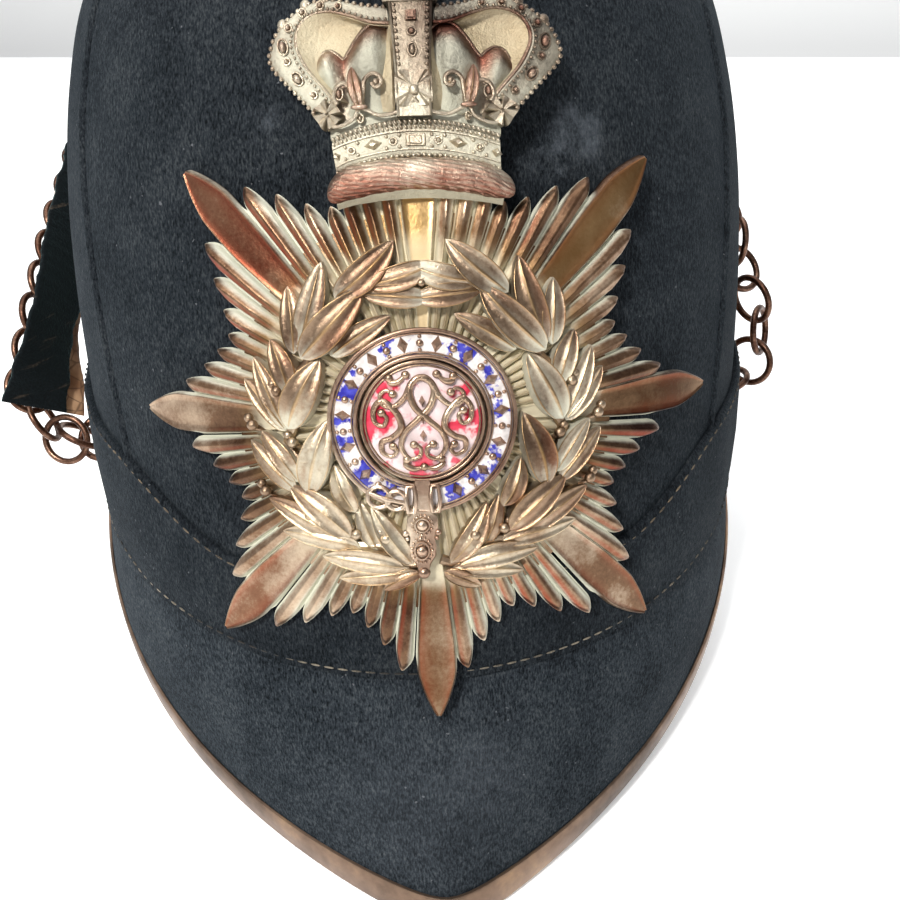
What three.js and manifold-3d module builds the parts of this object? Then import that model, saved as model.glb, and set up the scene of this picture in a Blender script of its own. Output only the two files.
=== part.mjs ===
// Blue cloth helmet with front and back peaks, a star-shaped front plate and a linked chin chain.
// Millimetres, +Z up. X is the wearer's left-right axis, the front faces -Y, and Z = 0 is the surface
// that the peaks rest on. Every piece is first placed round the dome's own axis; the last lines move
// the whole helmet so that the origin is under the middle of its bounding box.
import * as THREE from 'three';
import { mergeVertices } from 'three/addons/utils/BufferGeometryUtils.js';
import Module from 'manifold-3d';

const wasm = await Module();
wasm.setup();

// ---------------------------------------------------------------- driving sizes
const GAP = 0.3;                 // clearance between neighbouring pieces
const SHELL_WALL = 3.0;          // cork body with its cloth cover
const SHELL_COLUMNS = 32;        // facets round the dome
const CROWN_HEIGHT = 193;        // top of the cloth dome
const RIM_HEIGHT = 48;           // lower edge of dome and band, where the peaks begin

// Level sections of the dome: height, half width, and reach from the axis to front and to back.
const DOME_SECTIONS = [
  { z: 48, half: 83.6, front: 121.6, back: 117.5 },
  { z: 64, half: 84.0, front: 119.2, back: 117.2 },
  { z: 82, half: 83.6, front: 115.2, back: 115.4 },
  { z: 100, half: 83.0, front: 110.0, back: 112.0 },
  { z: 120, half: 81.1, front: 103.0, back: 106.0 },
  { z: 140, half: 77.1, front: 94.4, back: 97.5 },
  { z: 158, half: 70.5, front: 84.0, back: 86.0 },
  { z: 173, half: 58.5, front: 68.5, back: 70.0 },
  { z: 184, half: 42.5, front: 50.0, back: 51.0 },
  { z: 190.6, half: 22.5, front: 26.5, back: 27.0 },
  { z: CROWN_HEIGHT, half: 0, front: 0, back: 0 },
];

const BAND_HEIGHT = 20.4;        // cloth band, stitched along both edges
const BAND_WALL = 1.4;
const BAND_STEP = 1.2;           // bevel along the band's top edge

const PEAK_WALL = 2.2;
const PEAK_COLUMNS = 24;
const PEAK_ROWS = 3;
const PEAK_LEAD = 0.8;           // how far the peak's root stands out from the dome's edge
const SIDE_JOINT = { x: 87.9, y: 2.5, z: 40.5, gap: 0.7 }; // where front and back peak meet at each side
const FRONT_TIP = { y: -141.3, z: 1.5, rise: 1.65, lead: 25.9, spread: 41.7, turnY: 78.4, turnZ: 30.4 };
const BACK_TIP = { y: 151, z: 2.2, rise: 0, lead: 2, spread: 46, turnY: 92, turnZ: 33 };
const FRONT_SWELL = 1.8;         // the peaks' crown between root and rim
const BACK_SWELL = 1.5;

const BINDING = { depth: 4.8, wall: 0.55, room: 0.5 }; // channel folded over each peak's rim
const REST_CUT = 0;              // the bindings are worn flat at this height

const TOP_CAP = { radius: 15, height: 6 };       // ventilator cap on the crown of the dome
const BACK_HOOK = { z: 119.4, wire: 1.4, reach: 13.5, lip: 9, plate: 4.5, lean: 0.33 }; // holds the chin chain up behind

// The front plate is bent round the dome. u runs to +X, v up and w out of its face, from its centre.
const PLATE = { x: -0.2, y: -114.3, z: 95.6, yaw: -0.7, tilt: 15, roll: -0.2 };
const PLATE_BEND = { left: 70, right: 77, above: 238, below: 2000 };
const STAR_SHEET = 0.9;
const STAR_GROOVE = 0.5;         // how far the grooves between the rays lie below the ridges
const STAR_RINGS = [0, 22, 41];
const BIG_RAYS = [
  { angle: 0, tip: 57.4 }, { angle: 45, tip: 58 }, { angle: 90, tip: 46 }, { angle: 135, tip: 58 },
  { angle: 180, tip: 57.4 }, { angle: 225, tip: 58 }, { angle: 270, tip: 55 }, { angle: 315, tip: 58 },
];
const BIG_RAY_HALF_WIDTH = 2.9;
const SMALL_RAY_TIPS = [45.3, 41, 38.5, 36.9, 39.2, 43.2, 47.7]; // from level or upright ray to diagonal
const SMALL_RAY_EDGE = 7.5;      // degrees from a big ray to its first small ray
const SMALL_RAY_CUT = 3.4;       // how far the outline falls back between two small rays

const GARTER = { u: -0.6, v: 0, inner: 10.3, outer: 15, low: 0.9, high: 2.2 };
const GARTER_BUCKLE = { u: -7, v: -12.2, length: 6.4, height: 5.2, bar: 1.1, rise: 1.2 };
// The belt's free end hangs over the wreath: half width and top of the strip down from the belt.
const GARTER_END = [
  { v: -11, half: 2.2, low: 1.6, high: 3.2 }, { v: -14.8, half: 2.2, low: 1.9, high: 4.2 },
  { v: -16.4, half: 2.6, low: 3.4, high: 4.8 }, { v: -18.4, half: 3.2, low: 3.6, high: 4.8 },
  { v: -20.6, half: 2.4, low: 3.6, high: 5 }, { v: -23.2, half: 2, low: 3.6, high: 4.8 },
  { v: -26.6, half: 1, low: 3.6, high: 4.6 },
];
const CENTRE_DISC = { radius: 9.9, low: 0.9, rim: 1.5, dome: 2.3 };

// Laurel leaves of the wreath's right half, tip to stalk in plate sizes; the left half mirrors them.
const LEAVES = [
  { tipU: 4.0, tipV: 28.5, baseU: 13.5, baseV: 20.0, half: 2.3, rise: 1.5 },
  { tipU: 9.0, tipV: 21.3, baseU: 19.3, baseV: 10.6, half: 2.6, rise: 2.0 },
  { tipU: 15.4, tipV: 25.6, baseU: 19.5, baseV: 11.8, half: 2.4, rise: 1.7 },
  { tipU: 21.2, tipV: 22.0, baseU: 20.6, baseV: 11.3, half: 2.2, rise: 1.5 },
  { tipU: 16.4, tipV: 10.4, baseU: 22.2, baseV: -0.9, half: 2.6, rise: 2.0 },
  { tipU: 24.7, tipV: 13.6, baseU: 21.8, baseV: 4.9, half: 2.1, rise: 1.6 },
  { tipU: 30.1, tipV: 7.1, baseU: 22.9, baseV: -1.4, half: 2.0, rise: 1.3 },
  { tipU: 16.4, tipV: 0.6, baseU: 19.4, baseV: -11.8, half: 2.5, rise: 2.0 },
  { tipU: 15.2, tipV: -6.9, baseU: 12.8, baseV: -16.0, half: 2.0, rise: 1.5 },
  { tipU: 29.7, tipV: -3.2, baseU: 21.9, baseV: -11.5, half: 2.2, rise: 1.6 },
  { tipU: 22.9, tipV: -10.7, baseU: 12.8, baseV: -19.1, half: 2.4, rise: 1.9 },
  { tipU: 27.1, tipV: -13.1, baseU: 14.3, baseV: -20.2, half: 2.3, rise: 1.6 },
  { tipU: 9.4, tipV: -14.1, baseU: 3.1, baseV: -24.2, half: 1.9, rise: 1.3 },
  { tipU: 18.2, tipV: -22.9, baseU: 4.4, baseV: -24.8, half: 2.1, rise: 1.4 },
  { tipU: 8.1, tipV: -28.9, baseU: 1.9, baseV: -23.8, half: 1.6, rise: 1.1 },
];
const WREATH = { low: 0.9, stalkInner: 19.2, stalkOuter: 24.2, stalkHigh: 1.5, ends: 52 };
const BOW = { v: 21.2, half: 9.4, height: 3, high: 2.6 };

// The crown in plate sizes: a furred base roll, a jewelled band, arches over a soft cap, and a plain orb.
const CROWN_ROLL = { v: 37.6, half: 15.2, bow: 1.6, low: 0.6, high: 5.4, height: 7 };
const CROWN_BAND = { low: 41, high: 47.4, half: 13.4, bow: 1.4, back: 1, face: 4 };
const CROWN_ARCH = [
  { u: 12.4, v: 46 }, { u: 18.2, v: 49.4 }, { u: 22.4, v: 54.2 }, { u: 22.4, v: 60 },
  { u: 17.4, v: 64.6 }, { u: 9.8, v: 65.6 }, { u: 2.6, v: 62.4 },
];
const CROWN_ARCH_SIZE = { half: 1.9, back: 1, face: 4.2 };
const CROWN_MIDDLE = { half: 3.6, low: 46.6, high: 66, back: 1.4, face: 4.8 };
const CROWN_CAP = { back: 1, edge: 1.8, swell: 1.8 };
const ORB = { v: 68, radius: 3.4, back: 1.2 };
const CROWN_ORNAMENTS = [
  { u: 0, v: 50.6, half: 3.9, height: 7.4, face: 5.6 },
  { u: -9.2, v: 50.8, half: 2.5, height: 7, face: 4.6 },
  { u: 9.2, v: 50.8, half: 2.5, height: 7, face: 4.6 },
];

const ROSE = { y: 12, z: 56, radius: 13, thickness: 5, petals: 6 }; // boss at each side, over the band
const SIDE_HOOK = { out: 95.3, y: 13.2, level: 50, low: 34.5, wire: 1 }; // from the rose's face outwards and down

// Chin chain. Rings hang bare at both ends; between them they lie on a leather strap lined with velvet.
const RING = { radius: 6.95, wire: 1.0, segments: 8, sides: 4 };
const STRAP_RING_PITCH = 11;
const STRAP_RING_TILT = 15;      // degrees, each ring lapping over the next
const STRAP_RING_LIFT = 3.1;     // ring centres above the strap's outer face
const LEATHER = { half: 8.2, thickness: 1.5 };
const VELVET = { half: 9.2, thickness: 1.4 };
// The strap's middle line from left end to right end; its outer face looks along (ox, oy, oz).
const STRAP_ROUTE = [
  { x: -114.5, y: 6, z: 47.5, ox: -0.55, oy: 0.83, oz: 0 },
  { x: -108.8, y: 19, z: 70, ox: -0.88, oy: 0.46, oz: 0.1 },
  { x: -100.5, y: 49, z: 102, ox: -0.6, oy: 0.8, oz: -0.05 },
  { x: -92, y: 74, z: 122, ox: -0.5, oy: 0.85, oz: 0.12 },
  { x: -54, y: 97, z: 134, ox: -0.45, oy: 0.85, oz: 0.2 },
  { x: 0, y: 106.5, z: 134, ox: 0, oy: 0.97, oz: 0.24 },
  { x: 50, y: 96, z: 126, ox: 0.48, oy: 0.85, oz: 0.2 },
  { x: 82, y: 66, z: 108, ox: 0.85, oy: 0.5, oz: 0.1 },
  { x: 98, y: 30, z: 86.5, ox: 0.98, oy: 0.2, oz: 0.1 },
];
// Bare rings from the strap's end to the hook: centre, and the direction that looks through the ring.
const LEFT_RINGS = [
  { x: -114.7, y: 11.2, z: 41, nx: 0.89, ny: 0.16, nz: 0.43 },
  { x: -108.6, y: 9, z: 34.8, nx: 0.2, ny: 0.92, nz: -0.33 },
  { x: -103.9, y: 10, z: 35.4, nx: 0.49, ny: 0.21, nz: 0.85 },
  { x: -98.5, y: 12, z: 33.7, nx: 0.11, ny: 0.75, nz: -0.65 },
];
const RIGHT_RINGS = [
  { x: 103, y: 27, z: 83.5, nx: 1, ny: 0, nz: -0.07 },
  { x: 102, y: 19.8, z: 77.2, nx: -0.37, ny: 0.7, nz: -0.61 },
  { x: 104.3, y: 12.5, z: 69.5, nx: 0.89, ny: 0.42, nz: 0.2 },
  { x: 108, y: 12, z: 59.5, nx: 0.8, ny: -0.57, nz: 0.19 },
  { x: 106.1, y: 11.9, z: 49.3, nx: 0.75, ny: 0.66, nz: -0.09 },
  { x: 99.2, y: 12.6, z: 42.8, nx: -0.32, ny: -0.04, nz: 0.95 },
];

// ---------------------------------------------------------------- solids from points
// Triangles over a list of points, as one closed body with its faces pointing out.
function closedMesh(points, triangles) {
  const flat = [];
  for (const [a, b, c] of triangles) {
    const corners = [points[a], points[b], points[c]];
    const twins = corners[0].distanceTo(corners[1]) < 1e-4
      || corners[1].distanceTo(corners[2]) < 1e-4 || corners[2].distanceTo(corners[0]) < 1e-4;
    if (!twins) corners.forEach((p) => flat.push(p.x, p.y, p.z));
  }
  let volume = 0;
  for (let i = 0; i < flat.length; i += 9) {
    const a = new THREE.Vector3().fromArray(flat, i);
    const b = new THREE.Vector3().fromArray(flat, i + 3);
    const c = new THREE.Vector3().fromArray(flat, i + 6);
    volume += a.dot(b.cross(c));
  }
  if (volume < 0) {
    for (let i = 0; i < flat.length; i += 9) {
      for (let k = 0; k < 3; k += 1) {
        [flat[i + 3 + k], flat[i + 6 + k]] = [flat[i + 6 + k], flat[i + 3 + k]];
      }
    }
  }
  const geometry = new THREE.BufferGeometry();
  geometry.setAttribute('position', new THREE.Float32BufferAttribute(flat, 3));
  return geometry;
}

// A wall between two grids of points: rows run from edge to edge, columns side by side.
function wall(outer, inner, closed) {
  const rows = outer.length;
  const columns = outer[0].length;
  const points = [...outer.flat(), ...inner.flat()];
  const at = (side, i, j) => side * rows * columns + i * columns + (j % columns);
  const triangles = [];
  const quad = (a, b, c, d) => triangles.push([a, b, c], [a, c, d]);
  const span = closed ? columns : columns - 1;
  for (let i = 0; i + 1 < rows; i += 1) {
    for (let j = 0; j < span; j += 1) {
      quad(at(0, i, j), at(0, i, j + 1), at(0, i + 1, j + 1), at(0, i + 1, j));
      quad(at(1, i, j), at(1, i + 1, j), at(1, i + 1, j + 1), at(1, i, j + 1));
    }
    if (!closed) {
      quad(at(0, i, 0), at(0, i + 1, 0), at(1, i + 1, 0), at(1, i, 0));
      quad(at(0, i, span), at(1, i, span), at(1, i + 1, span), at(0, i + 1, span));
    }
  }
  for (let j = 0; j < span; j += 1) {
    quad(at(0, 0, j), at(1, 0, j), at(1, 0, j + 1), at(0, 0, j + 1));
    quad(at(0, rows - 1, j), at(0, rows - 1, j + 1), at(1, rows - 1, j + 1), at(1, rows - 1, j));
  }
  return closedMesh(points, triangles);
}

// One outline carried through a row of stations, each a list of points in the outline's order.
function loft(stations, outline, closed = false) {
  const count = outline.length;
  const points = stations.flat();
  const triangles = [];
  const turns = closed ? stations.length : stations.length - 1;
  for (let i = 0; i < turns; i += 1) {
    const low = i * count;
    const high = ((i + 1) % stations.length) * count;
    for (let k = 0; k < count; k += 1) {
      const next = (k + 1) % count;
      triangles.push([low + k, low + next, high + next], [low + k, high + next, high + k]);
    }
  }
  if (!closed) {
    const flat = outline.map(([x, y]) => new THREE.Vector2(x, y));
    const turned = THREE.ShapeUtils.area(flat) < 0;
    const last = (stations.length - 1) * count;
    for (const [a, b, c] of THREE.ShapeUtils.triangulateShape(flat, [])) {
      const first = turned ? [a, b, c] : [c, b, a];
      triangles.push(first, [first[2] + last, first[1] + last, first[0] + last]);
    }
  }
  return closedMesh(points, triangles);
}

function solidOf(geometry) {
  const bare = (geometry.index ? geometry.toNonIndexed() : geometry.clone());
  bare.deleteAttribute('normal');
  bare.deleteAttribute('uv');
  const merged = mergeVertices(bare, 1e-4);
  return new wasm.Manifold(new wasm.Mesh({
    numProp: 3,
    vertProperties: merged.attributes.position.array,
    triVerts: new Uint32Array(merged.index.array),
  }));
}

function geometryOf(solid) {
  const mesh = solid.getMesh();
  const geometry = new THREE.BufferGeometry();
  geometry.setAttribute('position', new THREE.BufferAttribute(new Float32Array(mesh.vertProperties), 3));
  geometry.setIndex(new THREE.BufferAttribute(new Uint32Array(mesh.triVerts), 1));
  return geometry;
}

const joined = (geometries) => geometryOf(geometries.map(solidOf).reduce((all, one) => all.add(one)));
const carved = (geometry, cutter) => geometryOf(solidOf(geometry).subtract(solidOf(cutter)));

// ---------------------------------------------------------------- dome
// The dome's level section at a height, by smooth interpolation between the named sections.
function domeSection(z) {
  const rows = DOME_SECTIONS;
  let i = 0;
  while (i < rows.length - 2 && z > rows[i + 1].z) i += 1;
  const [p, a, b, n] = [rows[Math.max(i - 1, 0)], rows[i], rows[i + 1], rows[Math.min(i + 2, rows.length - 1)]];
  const t = Math.min(Math.max((z - a.z) / (b.z - a.z), 0), 1);
  if (i >= rows.length - 3) {
    const t2 = i === rows.length - 2 ? 1 - Math.sqrt(1 - t) : t;
    const blend = (key) => THREE.MathUtils.lerp(a[key], b[key], t2);
    return { half: blend('half'), front: blend('front'), back: blend('back') };
  }
  const smooth = (key) => {
    const step = b.z - a.z;
    const slopeA = p === a ? (b[key] - a[key]) / step : (b[key] - p[key]) / (b.z - p.z);
    const slopeB = (n[key] - a[key]) / (n.z - a.z);
    const [t2, t3] = [t * t, t * t * t];
    return a[key] * (2 * t3 - 3 * t2 + 1) + slopeA * step * (t3 - 2 * t2 + t)
      + b[key] * (3 * t2 - 2 * t3) + slopeB * step * (t3 - t2);
  };
  return { half: smooth('half'), front: smooth('front'), back: smooth('back') };
}

// A point on the dome's outside: angle from the front, positive towards +X, and an offset outwards.
function domePoint(angle, z, out = 0) {
  const section = domeSection(z);
  const depth = Math.cos(angle) > 0 ? section.front : section.back;
  return new THREE.Vector3((section.half + out) * Math.sin(angle), -(depth + out) * Math.cos(angle), z);
}

function domeNormal(angle, z) {
  const level = Math.min(z, CROWN_HEIGHT - 0.4);
  const along = domePoint(angle + 0.01, level).sub(domePoint(angle - 0.01, level));
  const up = domePoint(angle, level + 0.3).sub(domePoint(angle, level - 0.3));
  return along.cross(up).normalize();
}

const circle = (count) => Array.from({ length: count }, (_, i) => (2 * Math.PI * i) / count);

function crownShell() {
  const angles = circle(SHELL_COLUMNS);
  const outer = DOME_SECTIONS.map(({ z }) => angles.map((angle) => domePoint(angle, z)));
  const inner = DOME_SECTIONS.map(({ z }, row) => angles.map((angle) => {
    if (row === DOME_SECTIONS.length - 1) return new THREE.Vector3(0, 0, z - SHELL_WALL);
    const point = domePoint(angle, z);
    const normal = domeNormal(angle, z);
    if (row === 0) normal.setZ(0).normalize();
    return point.addScaledVector(normal, -SHELL_WALL);
  }));
  return wall(outer, inner, true);
}

function clothBand() {
  const top = RIM_HEIGHT + BAND_HEIGHT;
  const outline = [[GAP, RIM_HEIGHT], [GAP + BAND_WALL, RIM_HEIGHT],
    [GAP + BAND_WALL, top - BAND_STEP], [GAP + 0.4, top], [GAP, top]];
  const stations = circle(SHELL_COLUMNS).map((angle) => outline.map(([out, z]) => domePoint(angle, z, out)));
  return loft(stations, outline, true);
}

// ---------------------------------------------------------------- peaks and their bindings
// The rim of a peak from its tip (t = 0) to the side joint (t = 1); side is 1 or -1 for +X or -X.
function rimCurve(tip) {
  const facing = Math.sign(tip.y);
  return new THREE.CubicBezierCurve3(
    new THREE.Vector3(0, tip.y, tip.z),
    new THREE.Vector3(tip.spread, tip.y - facing * tip.lead, tip.z + tip.rise),
    new THREE.Vector3(SIDE_JOINT.x, SIDE_JOINT.y + facing * tip.turnY, SIDE_JOINT.z - tip.turnZ),
    new THREE.Vector3(SIDE_JOINT.x, SIDE_JOINT.y + facing * SIDE_JOINT.gap, SIDE_JOINT.z),
  );
}

// Points on the peak's upper face: column from -1 to 1 round the rim, row from 0 at the root to 1.
function peakFace(tip, swell) {
  const curve = rimCurve(tip);
  return (column, row) => {
    const rim = curve.getPoint(Math.abs(column));
    rim.x *= Math.sign(column) || 1;
    const section = domeSection(RIM_HEIGHT);
    const depth = rim.y < 0 ? section.front : section.back;
    const angle = Math.atan2(rim.x / section.half, -rim.y / depth);
    const root = domePoint(angle, RIM_HEIGHT, PEAK_LEAD).setZ(RIM_HEIGHT - GAP);
    const fall = rim.clone().sub(root);
    const outwards = new THREE.Vector3(fall.x, fall.y, 0).normalize();
    const lift = swell * 4 * row * (1 - row) * (1 - column ** 2);
    const face = new THREE.Vector3(outwards.x * -fall.z, outwards.y * -fall.z,
      Math.hypot(fall.x, fall.y)).normalize();
    return root.addScaledVector(fall, row).addScaledVector(face, lift);
  };
}

function peakNormal(face, column, row) {
  const c = Math.min(Math.max(column, -0.99), 0.99);
  const r = Math.min(Math.max(row, 0.02), 0.98);
  const along = face(c + 0.01, r).sub(face(c - 0.01, r));
  const down = face(c, r + 0.02).sub(face(c, r - 0.02));
  const normal = along.cross(down).normalize();
  const outwards = face(c, r).setZ(RIM_HEIGHT);
  return normal.dot(outwards) < 0 ? normal.negate() : normal;
}

const steps = (count, low, high) => Array.from({ length: count + 1 }, (_, i) => low + ((high - low) * i) / count);

// Columns from -1 to 1, closer together towards the sides, where the peak turns steeply.
const peakColumns = () => steps(PEAK_COLUMNS, -1, 1).map((c) => 0.5 * c + 0.5 * Math.sin((c * Math.PI) / 2));

function peak(tip, swell) {
  const face = peakFace(tip, swell);
  const columns = peakColumns();
  const rows = steps(PEAK_ROWS, 0, 1);
  const outer = rows.map((row) => columns.map((column) => face(column, row)));
  const inner = rows.map((row) => columns.map((column) => (
    face(column, row).addScaledVector(peakNormal(face, column, row), -PEAK_WALL))));
  return wall(outer, inner, false);
}

// The channel round a peak's rim, cut level where it stands on a surface.
function binding(tip, swell) {
  const face = peakFace(tip, swell);
  const { depth, wall: skin, room } = BINDING;
  const high = room + skin;
  const low = -PEAK_WALL - room - skin;
  const end = room + skin;
  const outline = [[end - depth, high], [end, high], [end + 0.5, (high + low) / 2], [end, low], [end - depth, low],
    [end - depth, low + skin], [room, low + skin], [room, high - skin], [end - depth, high - skin]];
  const stations = peakColumns().map((column) => {
    const rim = face(column, 1);
    const normal = peakNormal(face, column, 1);
    const out = rim.clone().sub(face(column, 1 - 1 / PEAK_ROWS)).normalize();
    out.addScaledVector(normal, -out.dot(normal)).normalize();
    return outline.map(([o, n]) => rim.clone().addScaledVector(out, o).addScaledVector(normal, n));
  });
  const floor = new THREE.BoxGeometry(400, 400, 20).translate(0, 0, REST_CUT - 10);
  return carved(loft(stations, outline), floor);
}

// ---------------------------------------------------------------- fittings on the dome
function topCap() {
  const { radius, height } = TOP_CAP;
  const seat = CROWN_HEIGHT + GAP;
  const profile = [[0, 0], [radius, -1.6], [radius, -0.4], [radius * 0.8, height * 0.55],
    [radius * 0.42, height * 0.92], [0, height]];
  const points = profile.map(([r, z]) => new THREE.Vector2(r, z));
  return new THREE.LatheGeometry(points, 20).rotateX(Math.PI / 2).translate(0, 0, seat);
}

function backHook() {
  const { z, wire, reach, lip, plate, lean } = BACK_HOOK;
  const root = domePoint(Math.PI, z).y + GAP;
  const stem = new THREE.CylinderGeometry(wire, wire, reach, 8).translate(0, root + reach / 2 + 0.6, z);
  const tip = new THREE.CylinderGeometry(wire * 0.8, wire, lip, 8).rotateX(Math.PI / 2)
    .translate(0, root + reach - wire, z + lip / 2);
  const foot = new THREE.CylinderGeometry(plate, plate, 1.4, 10).rotateX(lean).translate(0, root + 1.1, z);
  return joined([stem, tip, foot]);
}

// A rose boss beside the head with the hook for the chain's end ring; side is 1 for +X and -1 for -X.
function rosette(side) {
  const { y, z, radius, thickness, petals } = ROSE;
  const count = petals * 2;
  const rings = [{ r: 0, w: 0.7 }, { r: 0.3, w: 1 }, { r: 0.6, w: 0.65 }, { r: 1, w: 0.4 }];
  const back = domePoint(Math.PI / 2, z).x + BAND_WALL + 2 * GAP;
  const place = (r, k, w) => {
    const lobe = k % 2 ? 0.9 : 1;
    const angle = (Math.PI * 2 * k) / count;
    return new THREE.Vector3(side * (back + w * thickness), y + r * radius * lobe * Math.cos(angle),
      z + r * radius * lobe * Math.sin(angle));
  };
  const front = rings.map(({ r, w }) => Array.from({ length: count }, (_, k) => place(r, k, w)));
  const rear = rings.map(({ r }) => Array.from({ length: count }, (_, k) => place(r, k, 0)));
  const { out, level, low, wire } = SIDE_HOOK;
  const length = out - back - 1;
  const arm = new THREE.CylinderGeometry(wire, wire, length, 8).rotateZ(Math.PI / 2)
    .translate(side * (out - length / 2), SIDE_HOOK.y, level);
  const drop = new THREE.CylinderGeometry(wire, wire, level - low + wire, 8).rotateX(Math.PI / 2)
    .translate(side * out, SIDE_HOOK.y, (level + wire + low) / 2);
  return joined([wall(front, rear, true), arm, drop]);
}

// ---------------------------------------------------------------- front plate
const plateTurn = new THREE.Matrix4().makeRotationZ(THREE.MathUtils.degToRad(PLATE.yaw));
const plateFace = (() => {
  const tilt = THREE.MathUtils.degToRad(PLATE.tilt);
  const out = new THREE.Vector3(0, -Math.cos(tilt), Math.sin(tilt)).applyMatrix4(plateTurn);
  const up = new THREE.Vector3(0, Math.sin(tilt), Math.cos(tilt)).applyMatrix4(plateTurn);
  const right = new THREE.Vector3(1, 0, 0).applyMatrix4(plateTurn);
  const roll = THREE.MathUtils.degToRad(PLATE.roll);
  return { out, up: up.applyAxisAngle(out, roll), right: right.applyAxisAngle(out, roll) };
})();

function plateAt(u, v, w) {
  const bend = u < 0 ? PLATE_BEND.left : PLATE_BEND.right;
  const rise = v > 0 ? PLATE_BEND.above : PLATE_BEND.below;
  const angle = u / bend;
  const sink = w - (bend + w) * (1 - Math.cos(angle)) - (v * v) / (2 * rise);
  return new THREE.Vector3(PLATE.x, PLATE.y, PLATE.z)
    .addScaledVector(plateFace.right, (bend + w) * Math.sin(angle))
    .addScaledVector(plateFace.up, v)
    .addScaledVector(plateFace.out, sink);
}

// A flat or domed shape on the plate: an outline in u and v between two heights over the plate.
function plateBlock(outline, low, high) {
  const stations = [low, high].map((w) => outline.map(([u, v]) => plateAt(u, v, w)));
  return loft(stations, outline);
}

// All rays in order round the star, with the angle and reach of each.
function starRays() {
  const rays = [];
  const gap = (45 - 2 * SMALL_RAY_EDGE) / (SMALL_RAY_TIPS.length - 1);
  BIG_RAYS.forEach(({ angle, tip }, octant) => {
    rays.push({ angle, tip, big: true });
    const tips = octant % 2 ? [...SMALL_RAY_TIPS].reverse() : SMALL_RAY_TIPS;
    tips.forEach((reach, k) => rays.push({ angle: angle + SMALL_RAY_EDGE + gap * k, tip: reach, big: false }));
  });
  return rays;
}

function plateStar() {
  const rays = starRays();
  const columns = [];
  rays.forEach((ray, i) => {
    const next = rays[(i + 1) % rays.length];
    const width = ray.big ? BIG_RAY_HALF_WIDTH : 0;
    const sides = ray.big ? [-1, 0, 1] : [0];
    sides.forEach((side) => columns.push({ angle: ray.angle, reach: ray.tip, width: side * width, w: 0 }));
    const between = (ray.angle + (next.angle < ray.angle ? next.angle + 360 : next.angle)) / 2;
    const edge = Math.min(ray.tip, next.tip) - SMALL_RAY_CUT;
    columns.push({ angle: between + (ray.big ? 0.6 : 0) - (next.big ? 0.6 : 0), reach: edge, width: 0,
      w: -STAR_GROOVE });
  });
  const grid = (sink) => [...STAR_RINGS, Infinity].map((ring) => columns.map((column) => {
    const share = ring === Infinity ? 1 : (ring / 41) * 0.8;
    const r = column.reach * share;
    const across = ring === Infinity ? 0 : column.width * Math.min(share * 2, 1);
    const angle = THREE.MathUtils.degToRad(column.angle) + (r > 0 ? Math.atan2(across, r) : 0);
    const w = r === 0 ? 0 : column.w;
    return plateAt(r * Math.cos(angle), r * Math.sin(angle), sink === 0 ? w : -sink);
  }));
  return wall(grid(0), grid(STAR_SHEET), true);
}

function ringOutline({ u, v }, radius, count) {
  return circle(count).map((angle) => [u + radius * Math.cos(angle), v + radius * Math.sin(angle)]);
}

function garterBelt() {
  const { inner, outer, low, high } = GARTER;
  const stations = circle(22).map((angle) => {
    const at = (r, w) => plateAt(GARTER.u + r * Math.cos(angle), GARTER.v + r * Math.sin(angle), w);
    return [at(inner, low), at(outer, low), at(outer, high), at(inner, high)];
  });
  const belt = loft(stations, [[0, 0], [1, 0], [1, 1], [0, 1]], true);
  const { u, v, length, height, bar, rise } = GARTER_BUCKLE;
  const corners = (grow) => [[-1, -1], [1, -1], [1, 1], [-1, 1]].map(([a, b]) => (
    [u + a * (length / 2 - grow), v + b * (height / 2 - grow)]));
  const frame = geometryOf(solidOf(plateBlock(corners(0), high - 0.4, high + rise))
    .subtract(solidOf(plateBlock(corners(bar), high - 1, high + rise + 1))));
  const strip = loft(GARTER_END.map(({ v: level, half, low: under, high: over }) => (
    [[-half, under], [half, under], [half * 0.8, over], [-half * 0.8, over]].map(([a, w]) => (
      plateAt(GARTER.u - 0.6 + a, level, w))))), [[-1, 0], [1, 0], [1, 1], [-1, 1]]);
  return joined([belt, frame, strip]);
}

function plateCentre() {
  const { radius, low, rim, dome } = CENTRE_DISC;
  const rows = [{ r: 0, w: dome }, { r: 0.6, w: dome - 0.25 }, { r: 1, w: rim }];
  const front = rows.map(({ r, w }) => ringOutline(GARTER, r * radius, 18).map(([u, v]) => plateAt(u, v, w)));
  const rear = rows.map(({ r }) => ringOutline(GARTER, r * radius, 18).map(([u, v]) => plateAt(u, v, low)));
  return wall(front, rear, true);
}

// One laurel leaf with a raised rib, as a closed sliver that lies a little off its neighbours' level.
function leaf(row, side, low) {
  const base = new THREE.Vector2(side * row.baseU, row.baseV);
  const tip = new THREE.Vector2(side * row.tipU, row.tipV);
  const along = tip.clone().sub(base);
  const across = new THREE.Vector2(-along.y, along.x).normalize().multiplyScalar(row.half);
  const widest = base.clone().addScaledVector(along, 0.45);
  const at = (p, w) => plateAt(p.x, p.y, w);
  const points = [at(base, low), at(widest.clone().add(across), low), at(tip, low),
    at(widest.clone().sub(across), low), at(widest, low + row.rise), at(base, low + 0.7 * row.rise),
    at(tip, low + 0.35)];
  const triangles = [[0, 1, 3], [1, 2, 3], [0, 5, 1], [5, 4, 1], [1, 4, 6], [1, 6, 2],
    [0, 3, 5], [5, 3, 4], [3, 6, 4], [3, 2, 6]];
  return closedMesh(points, triangles);
}

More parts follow.
